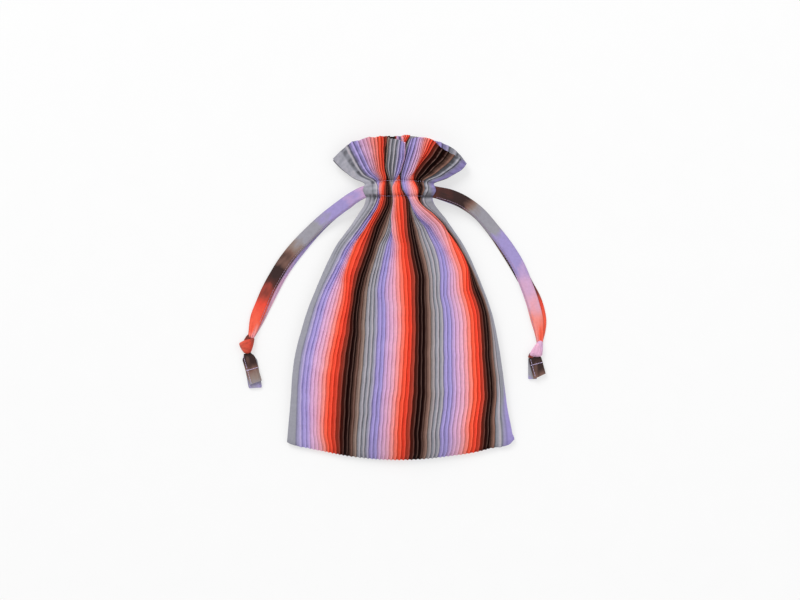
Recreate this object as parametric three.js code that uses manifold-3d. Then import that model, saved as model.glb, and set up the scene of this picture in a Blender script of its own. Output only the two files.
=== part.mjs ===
// A pleated cloth bag with two drawcords, lying on its back.
// Two pleated panels are sewn together at the sides and the hem. Below the ruffle a casing gathers
// them into a neck, and a flat cord comes out of the casing on each side, doubled and knotted.
// Millimetres. +X runs across the bag, +Y from the hem to the ruffle, +Z up from the surface.
import * as THREE from "three";
import { mergeVertices } from "three/addons/utils/BufferGeometryUtils.js";
import Module from "manifold-3d";

// Driving dimensions
const PLEATS = 54; // on each panel
const PLEAT_CREST = 0.6; // where a front pleat's crest stands across the pleat
const PLEAT_FLAT = [0.25, 0.75]; // the part of a back pleat that is pressed flat on the surface
const SIDE_FLAT = 0.035; // share of the panel at each side that the seam keeps free of pleats
const SEAM_GAP = 0.3; // between the two panels along the side seams and the hem
const ARCH_POWER = 2.2; // the front panel's arch across the bag
const CURL_START = 0.72; // share of the half width where the back panel starts to curl up
const BACK_FOLDS = 7; // gathers in the back of the neck
const BACK_FOLD_DEPTH = 1.4;
const CORD_WIDTH = 12;
const CORD_THICK = 1;
const CORD_PLAY = 0.3; // clearance round a cord in its casing, and between touching pieces
const CORD_EDGE = 0.25; // how far a cord's rounded edge is drawn in from its full width
const CORD_STEPS = 2; // between two points of a cord's route
const CASING_Y = 100.5; // middle of the casing
const FRONT_TUNNEL_Z = 14; // middle of the cord's tunnel in the front of the casing
const BACK_TUNNEL_Z = 3.6;
const TUNNEL_LENGTH = 90; // longer than the neck is wide, so the tunnel opens at both sides
const KNOT_BEVEL = 1.6;

// Cross sections of the bag, from the hem to the ruffle's edge. y is the place on the middle pleat.

// rise: how much higher a section stands at the sides; left, right: half widths
const OUTLINE = [
  { y: -150, rise: 18, left: 104.5, right: 104.5 },
  { y: -141, rise: 18, left: 103.6, right: 103.4 },
  { y: -120, rise: 17.5, left: 101.5, right: 99.2 },
  { y: -80, rise: 17, left: 98.3, right: 93.9 },
  { y: -35, rise: 15.5, left: 87.9, right: 86.2 },
  { y: 5, rise: 12, left: 73.8, right: 73.4 },
  { y: 40, rise: 8, left: 59, right: 59 },
  { y: 68, rise: 4, left: 41.8, right: 42.8 },
  { y: 92, rise: 0.5, left: 31.4, right: 30 },
  { y: 100.5, rise: -0.8, left: 33.8, right: 32.8 },
  { y: 109, rise: -3.5, left: 32.4, right: 31 },
  { y: 119, rise: -7.5, left: 43.4, right: 44.3 },
  { y: 133, rise: -13, left: 53, right: 55 },
  { y: 150, rise: -19.5, left: 61.8, right: 61.4 },
];

// Heights in the middle of the bag. seam: the side seam, at the sides; back, front: the insides of the
// two panels; base: the outside of the back panel
const HEIGHTS = [
  { y: -150, base: 0.45, back: 2.05, seam: 2.2, front: 2.35 },
  { y: -141, base: 0, back: 2.4, seam: 3, front: 10 },
  { y: -120, base: 0, back: 2.5, seam: 4.5, front: 19 },
  { y: -80, base: 0, back: 2.5, seam: 6, front: 24 },
  { y: -35, base: 0, back: 2.5, seam: 7, front: 23.5 },
  { y: 5, base: 0, back: 2.5, seam: 7.5, front: 21 },
  { y: 40, base: 0, back: 2.5, seam: 8, front: 17.5 },
  { y: 68, base: 0, back: 3.2, seam: 8.5, front: 14.5 },
  { y: 92, base: 0, back: 5.4, seam: 8.7, front: 12 },
  { y: 105.5, base: 0, back: 5.4, seam: 8.7, front: 12 },
  { y: 119, base: 0, back: 3.2, seam: 8, front: 12.5 },
  { y: 133, base: 0, back: 2.6, seam: 7.5, front: 14 },
  { y: 150, base: 0, back: 2.6, seam: 7, front: 16 },
];

// Thickness. wall: cloth behind the front's pleats, and round a cord in the casing; pleat: pleat depth;
// edge, under: cloth above and below the seam at the sides
const CLOTH = [
  { y: -150, wall: 1.2, pleat: 0.4, edge: 1.3, under: 1.3 },
  { y: -120, wall: 1.2, pleat: 1.3, edge: 1.3, under: 1.3 },
  { y: 5, wall: 1.2, pleat: 1.3, edge: 1.3, under: 1.3 },
  { y: 68, wall: 1.2, pleat: 1, edge: 1.5, under: 1.5 },
  { y: 92, wall: 2.6, pleat: 0.6, edge: 5.6, under: 7 },
  { y: 95.5, wall: 4.3, pleat: 0.6, edge: 7.5, under: 8.5 },
  { y: 100.5, wall: 5.2, pleat: 0.6, edge: 8, under: 8.5 },
  { y: 105.5, wall: 4.3, pleat: 0.6, edge: 7.5, under: 8.5 },
  { y: 109, wall: 2.6, pleat: 0.6, edge: 5, under: 6 },
  { y: 119, wall: 1.2, pleat: 1, edge: 1.6, under: 1.6 },
  { y: 150, wall: 1.2, pleat: 1.2, edge: 1.4, under: 1.4 },
];

// How far the cloth is drawn together. gather: share of the neck's gathers; fold: share of their relief;
// hollow: share of the relief on the inside; flare: share of the ruffle's own folds in place of the neck's
const DRAW = [
  { y: -150, gather: 0, fold: 0, hollow: 1, flare: 0 },
  { y: -80, gather: 0, fold: 0, hollow: 1, flare: 0 },
  { y: 5, gather: 0.04, fold: 0.25, hollow: 1, flare: 0 },
  { y: 40, gather: 0.2, fold: 0.6, hollow: 1, flare: 0 },
  { y: 68, gather: 0.6, fold: 0.9, hollow: 0.8, flare: 0 },
  { y: 92, gather: 1, fold: 0.9, hollow: 0, flare: 0 },
  { y: 100.5, gather: 1, fold: 1, hollow: 0, flare: 0 },
  { y: 109, gather: 1, fold: 0.9, hollow: 0.2, flare: 0.15 },
  { y: 119, gather: 1, fold: 1, hollow: 1, flare: 0.7 },
  { y: 150, gather: 1, fold: 1, hollow: 1, flare: 1 },
];

// The gathers across the front, from its left side to its right.
// cloth: place across the flat panel; neck, ruffle: where it comes to lie across the neck and across the
// ruffle's edge, as shares of their widths; neckLift, ruffleLift: how far it stands up there.
const FOLDS = [
  { name: "left side", cloth: 0, neck: 0, neckLift: 0, ruffle: 0, ruffleLift: 0 },
  { name: "left flat", cloth: 0.035, neck: 0.09, neckLift: 0.8, ruffle: 0.1, ruffleLift: 1.2 },
  { name: "left ridge", cloth: 0.06, neck: 0.15, neckLift: 2, ruffle: 0.19, ruffleLift: 3 },
  { name: "left valley", cloth: 0.115, neck: 0.205, neckLift: 0, ruffle: 0.28, ruffleLift: 2 },
  { name: "left tuck", cloth: 0.185, neck: 0.25, neckLift: 3.6, ruffle: 0.35, ruffleLift: 4.5 },
  { name: "left slope", cloth: 0.25, neck: 0.33, neckLift: 2.4, ruffle: 0.39, ruffleLift: 0.5 },
  { name: "inner valley", cloth: 0.345, neck: 0.365, neckLift: 0, ruffle: 0.46, ruffleLift: 5.5 },
  { name: "inner slope", cloth: 0.41, neck: 0.38, neckLift: 0.4, ruffle: 0.52, ruffleLift: 2.5 },
  { name: "middle tuck", cloth: 0.51, neck: 0.47, neckLift: 5, ruffle: 0.535, ruffleLift: 0 },
  { name: "middle slope", cloth: 0.59, neck: 0.595, neckLift: 1.8, ruffle: 0.542, ruffleLift: 0 },
  { name: "right valley", cloth: 0.66, neck: 0.625, neckLift: 0, ruffle: 0.55, ruffleLift: 1 },
  { name: "right rise", cloth: 0.74, neck: 0.66, neckLift: 2, ruffle: 0.59, ruffleLift: 4.5 },
  { name: "right tuck", cloth: 0.84, neck: 0.78, neckLift: 4.2, ruffle: 0.68, ruffleLift: 4 },
  { name: "right slope", cloth: 0.91, neck: 0.85, neckLift: 0.4, ruffle: 0.79, ruffleLift: 3.5 },
  { name: "right flat", cloth: 0.965, neck: 0.89, neckLift: 0.8, ruffle: 0.92, ruffleLift: 1.5 },
  { name: "right side", cloth: 1, neck: 1, neckLift: 0, ruffle: 1, ruffleLift: 0 },
];

// Rows of each panel's mesh, closer together where the cloth is gathered
const FRONT_ROWS = [
  -150, -146, -138, -120, -80, -35, 5, 35, 58, 78, 92, 95.5, 100.5, 105.5, 109, 119, 133, 148.5,
];
const BACK_ROWS = [-150, -143, -110, -60, -15, 25, 55, 76, 92, 109, 126, 150];

// Routes of the cords, from inside the casing to the knot: the middle of the cord, and its width where
// it is drawn in towards the knot
const CORD_ROUTES = {
  left_cord_upper: [
    { x: -1.5, y: 100.5, z: 14 },
    { x: -30, y: 100.5, z: 14 },
    { x: -33.5, y: 100.5, z: 14 },
    { x: -41.5, y: 96.4, z: 13 },
    { x: -48.5, y: 88.9, z: 10.8 },
    { x: -58, y: 82, z: 7.8 },
    { x: -69, y: 73.6, z: 4.8 },
    { x: -83, y: 60.9, z: 2.6 },
    { x: -97, y: 46.4, z: 2 },
    { x: -107.1, y: 33.5, z: 2 },
    { x: -115.8, y: 19.5, z: 2 },
    { x: -122, y: 8, z: 2 },
    { x: -127.2, y: -4, z: 2 },
    { x: -133, y: -18.5, z: 2.2, width: 11.4 },
    { x: -137, y: -33.2, z: 2.8, width: 7 },
  ],
  left_cord_lower: [
    { x: -1.5, y: 100.5, z: 3.6 },
    { x: -30, y: 100.5, z: 3.6 },
    { x: -34.5, y: 100.5, z: 3.6 },
    { x: -42.5, y: 96, z: 3 },
    { x: -48.8, y: 89, z: 1.4 },
    { x: -58.2, y: 82.4, z: 0.6 },
    { x: -68.5, y: 73.6, z: 0.6 },
    { x: -81.6, y: 60.1, z: 0.6 },
    { x: -94.5, y: 44.6, z: 0.6 },
    { x: -104.3, y: 31.7, z: 0.6 },
    { x: -112.8, y: 18, z: 0.6 },
    { x: -118.8, y: 6.4, z: 0.6 },
    { x: -124.4, y: -5.2, z: 0.6, width: 11.5 },
    { x: -130.6, y: -19.4, z: 0.6, width: 10 },
    { x: -137, y: -33.2, z: 0.8, width: 7 },
  ],
  right_cord_upper: [
    { x: 1.5, y: 100.5, z: 14 },
    { x: 29, y: 100.5, z: 14 },
    { x: 33, y: 100.5, z: 14 },
    { x: 46.4, y: 94.4, z: 12.6 },
    { x: 58, y: 89.4, z: 9.8 },
    { x: 72.5, y: 79.1, z: 6 },
    { x: 86.8, y: 63, z: 3 },
    { x: 99.4, y: 46.8, z: 2 },
    { x: 109.1, y: 31, z: 2 },
    { x: 116.5, y: 13.4, z: 2 },
    { x: 122.4, y: -3.2, z: 2 },
    { x: 126.8, y: -20.2, z: 2, width: 11.5 },
    { x: 128.5, y: -30, z: 2.2, width: 9 },
    { x: 129.3, y: -39.8, z: 2.6, width: 6 },
  ],
  right_cord_lower: [
    { x: 1.5, y: 100.5, z: 3.6 },
    { x: 29, y: 100.5, z: 3.6 },
    { x: 33, y: 100.5, z: 3.6 },
    { x: 46.4, y: 94.2, z: 2.2 },
    { x: 58.2, y: 89.2, z: 0.9 },
    { x: 72.7, y: 79, z: 0.6 },
    { x: 86.6, y: 62.8, z: 0.6 },
    { x: 98.2, y: 45.6, z: 0.6 },
    { x: 107.8, y: 30.1, z: 0.6 },
    { x: 117, y: 13.6, z: 0.6 },
    { x: 125.4, y: -2.6, z: 0.6 },
    { x: 130, y: -19.6, z: 0.6, width: 11 },
    { x: 130.2, y: -29.8, z: 0.6, width: 9 },
    { x: 129.3, y: -39.6, z: 0.8, width: 6 },
  ],
};

// The knots: outline seen from above, and height
const KNOTS = {
  left_knot: {
    height: 7,
    outline: [[-140.4, -32.5], [-133.7, -34.5], [-134.4, -42], [-135.7, -49], [-144.5, -51], [-148.4, -41.5]],
  },
  right_knot: {
    height: 7,
    outline: [[126.3, -40.5], [132.3, -39.7], [132.2, -47.5], [128.9, -52.4], [119.7, -54.8], [119.4, -51.5]],
  },
};

// The ends below the knots: from the knot to the folded and sewn end. The upper ones lie on the lower ones.
const TAIL_THICK = 0.9;
const TAIL_HEM = 1.8; // thickness where the end is folded back and sewn
const TAIL_HEM_START = 0.5; // share of the tail's length where the folded part starts
const TAIL_HEM_STEP = 0.02; // and over which it thickens
const TAIL_SPREAD = 0.25; // share of its length where a tail has spread to its full width
const TAILS = {
  left_tail_lower: { from: [-140.1, -50.3], to: [-133.9, -82.2], z: 0, startWidth: 9 },
  left_tail_upper: { from: [-140.1, -50.3], to: [-133.4, -77.8], z: 2.1, startWidth: 9 },
  right_tail_lower: { from: [124.3, -55.4], to: [124.1, -75], z: 0, startWidth: 9 },
  right_tail_upper: { from: [124.4, -53.9], to: [129.2, -72], z: 2.1, startWidth: 9.2 },
};

const FINISH = {
  panel: new THREE.MeshStandardMaterial({ color: 0xb79bb4, roughness: 0.75, metalness: 0 }),
  cord: new THREE.MeshStandardMaterial({ color: 0x9a86ab, roughness: 0.7, metalness: 0 }),
};

const wasm = await Module();
wasm.setup();

// A smooth curve through a table's column that never overshoots its rows.
function curveThrough(table, across, column) {
  const at = table.map((row) => row[across]);
  const value = table.map((row) => row[column]);
  const slope = at.slice(1).map((x, i) => (value[i + 1] - value[i]) / (x - at[i]));
  const tangent = at.map((_, i) => {
    const before = slope[i - 1] ?? 0;
    const after = slope[i] ?? 0;
    return before * after > 0 ? (2 * before * after) / (before + after) : 0;
  });
  return (x) => {
    const i = Math.max(0, Math.min(at.length - 2, at.findLastIndex((a) => a <= x)));
    const step = at[i + 1] - at[i];
    const s = (x - at[i]) / step;
    const rise = value[i + 1] - value[i];
    const start = tangent[i] * step;
    const end = tangent[i + 1] * step;
    return value[i] + s * (start + s * (3 * rise - 2 * start - end + s * (start + end - 2 * rise)));
  };
}

const columnsOf = (table, across) =>
  Object.fromEntries(
    Object.keys(table[0])
      .filter((key) => key !== across && key !== "name")
      .map((key) => [key, curveThrough(table, across, key)]),
  );
const section = Object.assign({}, ...[OUTLINE, HEIGHTS, CLOTH, DRAW].map((table) => columnsOf(table, "y")));
const fold = columnsOf(FOLDS, "cloth");
const mix = THREE.MathUtils.lerp;

// Where a place across the cloth lies across a section: share 0 at the left edge, 1 at the right.
function shareAcross(gathered, ruffled, cloth, y) {
  const drawn = mix(gathered, ruffled, section.flare(y));
  return mix(cloth, drawn, section.gather(y));
}

// The place in plan of a share of a section, and how far it is from the middle of the bag (-1 to 1).
function inPlan(share, y) {
  const off = 2 * share - 1;
  const x = mix(-section.left(y), section.right(y), share);
  return { x, y: y + section.rise(y) * off * off, off: Math.abs(off) };
}

// The front panel: its inside arches over the hollow, its outside adds the cloth, the pleats and the gathers.
function frontPoint(cloth, y, crest, outside) {
  const plan = inPlan(shareAcross(fold.neck(cloth), fold.ruffle(cloth), cloth, y), y);
  const arch = 1 - plan.off ** ARCH_POWER;
  const lift = section.fold(y) * mix(fold.neckLift(cloth), fold.ruffleLift(cloth), section.flare(y));
  const seam = section.seam(y) + SEAM_GAP / 2;
  const inside = mix(seam, section.front(y) + SEAM_GAP / 2, arch) + section.hollow(y) * lift;
  if (!outside) return new THREE.Vector3(plan.x, plan.y, inside);
  const cover = mix(seam + section.edge(y), section.front(y) + SEAM_GAP / 2 + section.wall(y), arch) + lift;
  return new THREE.Vector3(plan.x, plan.y, cover + crest * section.pleat(y));
}

// The back panel lies flat on the surface and curls up to the side seams.
function backPoint(cloth, y, crest, outside) {
  const plan = inPlan(cloth, y);
  const curl = Math.max(0, (plan.off - CURL_START) / (1 - CURL_START)) ** 2;
  const seam = section.seam(y) - SEAM_GAP / 2;
  const inside = mix(section.back(y), seam, curl);
  if (!outside) return new THREE.Vector3(plan.x, plan.y, inside);
  const wave = 0.5 - 0.5 * Math.cos(2 * Math.PI * BACK_FOLDS * cloth);
  const depth = section.pleat(y) + section.gather(y) * BACK_FOLD_DEPTH * wave;
  const groove = (1 - crest) * Math.min(depth, 2 * section.pleat(y));
  return new THREE.Vector3(plan.x, plan.y, mix(section.base(y), seam - section.under(y), curl) + groove);
}

// Columns of a panel's outside: its plain sides and, on each pleat, the places that shape it.
function pleatColumns(shape) {
  const pitch = (1 - 2 * SIDE_FLAT) / PLEATS;
  const columns = [{ cloth: 0, crest: 1 }];
  for (let pleat = 0; pleat < PLEATS; pleat++) {
    for (const { across, crest } of shape) {
      columns.push({ cloth: SIDE_FLAT + (pleat + across) * pitch, crest });
    }
  }
  columns.push({ cloth: 1 - SIDE_FLAT, crest: 0 }, { cloth: 1, crest: 1 });
  return columns;
}

// Columns of a panel's inside: the edges and every so many pleats.
function plainColumns(pleatsEach) {
  const pitch = (1 - 2 * SIDE_FLAT) / PLEATS;
  const columns = [{ cloth: 0, crest: 0 }];
  for (let pleat = 0; pleat <= PLEATS; pleat += pleatsEach) {
    columns.push({ cloth: SIDE_FLAT + pleat * pitch, crest: 0 });
  }
  columns.push({ cloth: 1, crest: 0 });
  return columns;
}

// A closed sheet between two skins over the same rows: the top one faces +Z, the bottom one -Z.
function sheetGeometry(rows, top, bottom) {
  const points = [];
  const faces = [];
  const skin = ({ columns, pointAt }) =>
    rows.map((y) =>
      columns.map(({ cloth, crest }) => {
        points.push(...pointAt(cloth, y, crest).toArray());
        return points.length / 3 - 1;
      }),
    );
  const quad = (a, b, c, d) => faces.push(a, b, c, a, c, d);
  const over = skin(top);
  const under = skin(bottom);
  const last = rows.length - 1;
  for (let i = 0; i < last; i++) {
    for (let j = 1; j < top.columns.length; j++) {
      quad(over[i][j - 1], over[i][j], over[i + 1][j], over[i + 1][j - 1]);
    }
    for (let j = 1; j < bottom.columns.length; j++) {
      quad(under[i][j - 1], under[i + 1][j - 1], under[i + 1][j], under[i][j]);
    }
    quad(under[i + 1][0], under[i][0], over[i][0], over[i + 1][0]);
    quad(under[i].at(-1), under[i + 1].at(-1), over[i + 1].at(-1), over[i].at(-1));
  }
  // The rims at the first and last row join two rows with different columns.
  const rim = (row, turned) => {
    let j = 0;
    let k = 0;
    while (j < bottom.columns.length - 1 || k < top.columns.length - 1) {
      const nextBottom = bottom.columns[j + 1]?.cloth ?? Infinity;
      const nextTop = top.columns[k + 1]?.cloth ?? Infinity;
      const stepBottom = nextBottom <= nextTop;
      const tip = stepBottom ? under[row][j + 1] : over[row][k + 1];
      const face = [under[row][j], tip, over[row][k]];
      faces.push(...(turned ? face.reverse() : face));
      if (stepBottom) j++;
      else k++;
    }
  };
  rim(0, false);
  rim(last, true);
  const geometry = new THREE.BufferGeometry();
  geometry.setAttribute("position", new THREE.Float32BufferAttribute(points, 3));
  geometry.setIndex(faces);
  return geometry;
}

// A flat cord along a route: at each station a section with rounded edges, level across the route.
function bandGeometry(stations) {
  const across = [
    { side: -1, up: 0 },
    { side: -1 + CORD_EDGE, up: -1 },
    { side: 1 - CORD_EDGE, up: -1 },
    { side: 1, up: 0 },
    { side: 1 - CORD_EDGE, up: 1 },
    { side: -1 + CORD_EDGE, up: 1 },
  ];
  const points = [];
  const faces = [];
  const sides = across.length;
  stations.forEach(({ middle, ahead, width, thick }, i) => {
    const level = new THREE.Vector3(-ahead.y, ahead.x, 0).normalize();
    for (const { side, up } of across) {
      const point = middle.clone().addScaledVector(level, (side * width) / 2);
      points.push(point.x, point.y, point.z + (up * thick) / 2);
    }
    if (i === 0) return;
    const here = i * sides;
    for (let k = 0; k < sides; k++) {
      const next = (k + 1) % sides;
      const before = here - sides;
      faces.push(before + k, here + next, here + k, before + k, before + next, here + next);
    }
  });
  const end = points.length / 3 - sides;
  for (let k = 1; k < sides - 1; k++) {
    faces.push(0, k + 1, k, end, end + k, end + k + 1);
  }
  const geometry = new THREE.BufferGeometry();
  geometry.setAttribute("position", new THREE.Float32BufferAttribute(points, 3));
  geometry.setIndex(faces);
  return geometry;
}

function cordGeometry(route) {
  const points = route.map(({ x, y, z }) => new THREE.Vector3(x, y, z));
  const curve = new THREE.CatmullRomCurve3(points, false, "centripetal");
  const widths = route.map(({ width = CORD_WIDTH }) => width);
  const last = route.length - 1;
  const stations = [];
  for (let step = 0; step <= last * CORD_STEPS; step++) {
    const place = step / CORD_STEPS;
    const before = Math.min(Math.floor(place), last - 1);
    const width = mix(widths[before], widths[before + 1], place - before);
    const middle = curve.getPoint(place / last);
    const ahead = curve.getTangent(place / last);
    stations.push({ middle, ahead, width, thick: CORD_THICK });
  }
  return bandGeometry(stations);
}

// A tail starts narrow at the knot and is twice as thick where its end is folded back and sewn.
function tailGeometry({ from, to, z, startWidth }) {
  const start = new THREE.Vector3(from[0], from[1], z);
  const end = new THREE.Vector3(to[0], to[1], z);
  const ahead = end.clone().sub(start).normalize();
  const shape = [
    { share: 0, width: startWidth, thick: TAIL_THICK },
    { share: TAIL_SPREAD, width: CORD_WIDTH, thick: TAIL_THICK },
    { share: TAIL_HEM_START, width: CORD_WIDTH, thick: TAIL_THICK },
    { share: TAIL_HEM_START + TAIL_HEM_STEP, width: CORD_WIDTH, thick: TAIL_HEM },
    { share: 1, width: CORD_WIDTH, thick: TAIL_HEM },
  ];
  return bandGeometry(
    shape.map(({ share, width, thick }) => {
      const middle = start.clone().lerp(end, share);
      middle.z += thick / 2;
      return { middle, ahead, width, thick };
    }),
  );
}

// A knot: its outline seen from above, with rounded edges, lying on the surface.
function knotGeometry({ height, outline }) {
  const shape = new THREE.Shape(outline.map(([x, y]) => new THREE.Vector2(x, y)));
  const geometry = new THREE.ExtrudeGeometry(shape, {
    depth: height - 2 * KNOT_BEVEL,
    bevelThickness: KNOT_BEVEL,
    bevelSize: KNOT_BEVEL,
    bevelOffset: -KNOT_BEVEL,
    bevelSegments: 3,
  });
  return geometry.translate(0, 0, KNOT_BEVEL);
}

// A box-shaped tunnel for a cord through the casing, opening at both sides of the neck.
function withTunnel(geometry, z) {
  const height = CORD_THICK + 2 * CORD_PLAY;
  const tunnel = new THREE.BoxGeometry(TUNNEL_LENGTH, CORD_WIDTH + 2 * CORD_PLAY, height);
  tunnel.translate(0, CASING_Y, z);
  const cut = solidOf(geometry).subtract(solidOf(tunnel)).getMesh();
  const result = new THREE.BufferGeometry();
  result.setAttribute("position", new THREE.BufferAttribute(cut.vertProperties, 3));
  return result.setIndex(new THREE.BufferAttribute(cut.triVerts, 1));
}

function solidOf(geometry) {
  const plain = geometry.clone().deleteAttribute("normal").deleteAttribute("uv");
  const merged = mergeVertices(plain);
  const mesh = new wasm.Mesh({
    numProp: 3,
    vertProperties: new Float32Array(merged.attributes.position.array),
    triVerts: new Uint32Array(merged.index.array),
  });
  return new wasm.Manifold(mesh);
}

function named(name, geometry, material) {
  const mesh = new THREE.Mesh(geometry, material.clone());
  mesh.name = name;
  return mesh;
}

const bag = new THREE.Group();
const frontPleat = [{ across: 0, crest: 0 }, { across: PLEAT_CREST, crest: 1 }];
const backPleat = [{ across: 0, crest: 0 }, ...PLEAT_FLAT.map((across) => ({ across, crest: 1 }))];
const front = sheetGeometry(
  FRONT_ROWS,
  { columns: pleatColumns(frontPleat), pointAt: (...at) => frontPoint(...at, true) },
  { columns: plainColumns(2), pointAt: (...at) => frontPoint(...at, false) },
);
const back = sheetGeometry(
  BACK_ROWS,
  { columns: plainColumns(2), pointAt: (...at) => backPoint(...at, false) },
  { columns: pleatColumns(backPleat), pointAt: (...at) => backPoint(...at, true) },
);
bag.add(named("front_panel", withTunnel(front, FRONT_TUNNEL_Z), FINISH.panel));
bag.add(named("back_panel", withTunnel(back, BACK_TUNNEL_Z), FINISH.panel));
for (const [name, route] of Object.entries(CORD_ROUTES)) {
  bag.add(named(name, cordGeometry(route), FINISH.cord));
}
for (const [name, knot] of Object.entries(KNOTS)) {
  bag.add(named(name, knotGeometry(knot), FINISH.cord));
}
for (const [name, tail] of Object.entries(TAILS)) {
  bag.add(named(name, tailGeometry(tail), FINISH.cord));
}

export default bag;
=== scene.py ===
"""A pleated drawstring bag lying on its back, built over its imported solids.

Lengths in the tables are millimetres. +X runs across the bag, +Y from the hem to the ruffle, +Z up.
"""

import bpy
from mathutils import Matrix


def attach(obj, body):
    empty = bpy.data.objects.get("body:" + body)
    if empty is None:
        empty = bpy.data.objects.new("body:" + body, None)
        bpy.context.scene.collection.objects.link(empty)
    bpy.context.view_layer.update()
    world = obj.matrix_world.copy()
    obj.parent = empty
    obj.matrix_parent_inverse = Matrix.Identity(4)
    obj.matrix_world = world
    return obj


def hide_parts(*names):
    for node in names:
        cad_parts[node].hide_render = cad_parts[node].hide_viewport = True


bl_info = {
    "name": "Pleated drawstring bag",
    "version": (1, 0, 0),
    "blender": (4, 5, 0),
    "location": "3D View > Sidebar > Bag",
    "description": "Makes a pleated cloth bag with two knotted drawcords, and a pale stage for it",
    "category": "Object",
}

from types import SimpleNamespace

import bpy
import numpy as np
from bpy.props import FloatProperty, FloatVectorProperty, IntProperty, PointerProperty

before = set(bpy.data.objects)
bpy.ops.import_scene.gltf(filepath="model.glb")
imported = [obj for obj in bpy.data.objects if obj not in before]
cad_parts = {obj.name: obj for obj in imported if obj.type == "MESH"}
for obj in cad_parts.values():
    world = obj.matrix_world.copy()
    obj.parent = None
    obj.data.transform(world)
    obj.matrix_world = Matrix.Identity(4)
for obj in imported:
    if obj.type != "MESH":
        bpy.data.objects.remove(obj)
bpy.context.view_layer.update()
MM = 0.001

# Sections of the bag from the hem to the ruffle. The first number is the place on the middle pleat.
# rise: how much higher a section stands at the sides; left, right: half widths
OUTLINE = (
    (-150, 18, 104.5, 104.5),
    (-141, 18, 103.6, 103.4),
    (-120, 17.5, 101.5, 99.2),
    (-80, 17, 98.3, 93.9),
    (-35, 15.5, 87.9, 86.2),
    (5, 12, 73.8, 73.4),
    (40, 8, 59, 59),
    (68, 4, 41.8, 42.8),
    (92, 0.5, 31.4, 30),
    (100.5, -0.8, 33.8, 32.8),
    (109, -3.5, 32.4, 31),
    (119, -7.5, 43.4, 44.3),
    (133, -13, 53, 55),
    (150, -19.5, 61.8, 61.4),
)
# seam: height of the side seam; base: the back panel's outside; front: the front panel's inside
HEIGHTS = (
    (-150, 2.2, 0.45, 2.35),
    (-141, 3, 0, 10),
    (-120, 4.5, 0, 19),
    (-80, 6, 0, 24),
    (-35, 7, 0, 23.5),
    (5, 7.5, 0, 21),
    (40, 8, 0, 17.5),
    (68, 8.5, 0, 14.5),
    (92, 8.7, 0, 12),
    (105.5, 8.7, 0, 12),
    (119, 8, 0, 12.5),
    (133, 7.5, 0, 14),
    (150, 7, 0, 16),
)
# wall: cloth behind the front's pleats; depth: of the pleats; edge, under: cloth above and below the seam
CLOTH = (
    (-150, 1.2, 0.4, 1.3, 1.3),
    (-120, 1.2, 1.3, 1.3, 1.3),
    (5, 1.2, 1.3, 1.3, 1.3),
    (68, 1.2, 1, 1.5, 1.5),
    (92, 2.6, 0.6, 5.6, 7),
    (95.5, 4.3, 0.6, 7.5, 8.5),
    (100.5, 5.2, 0.6, 8, 8.5),
    (105.5, 4.3, 0.6, 7.5, 8.5),
    (109, 2.6, 0.6, 5, 6),
    (119, 1.2, 1, 1.6, 1.6),
    (150, 1.2, 1.2, 1.4, 1.4),
)
# Where the pleats lie on the body. First the place on the middle pleat, then how far they lie to the right
# of an even spread at these shares of the width, in thousandths of the width
DRIFT_SHARES = (0, 0.05, 0.19, 0.26, 0.39, 0.51, 0.585, 0.71, 0.84, 0.915, 0.945, 1)
BODY_DRIFT = (
    (-150, 0, 30, 16, 6, 0, -12, -15, -22, -27, -30, -38, 0),
    (-140, 0, 22, 5, 0, -5, -11, -11, -14, -17, -21, -33, 0),
    (-126, 0, 16, -2, 2, 1, -6, -5, -5, -5, -9, -22, 0),
    (-98, 0, 9, 3, 8, 15, 9, 15, 23, 29, 20, 8, 0),
    (-70, 0, 9, 5, 13, 26, 25, 26, 34, 38, 24, 13, 0),
    (-42, 0, 10, 7, 11, 24, 30, 29, 42, 50, 40, 27, 0),
    (-14, 0, 6, 6, -6, 16, 34, 38, 58, 64, 51, 35, 0),
    (15, 0, 8, -10, -12, -6, 24, 42, 50, 58, 38, 25, 0),
    (45, 0, 0, 8, 6, 4, 2, 10, 24, 14, 6, 3, 0),
    (70, 0, 0, 0, 0, 0, 0, 0, 0, 0, 0, 0, 0),
)
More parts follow.
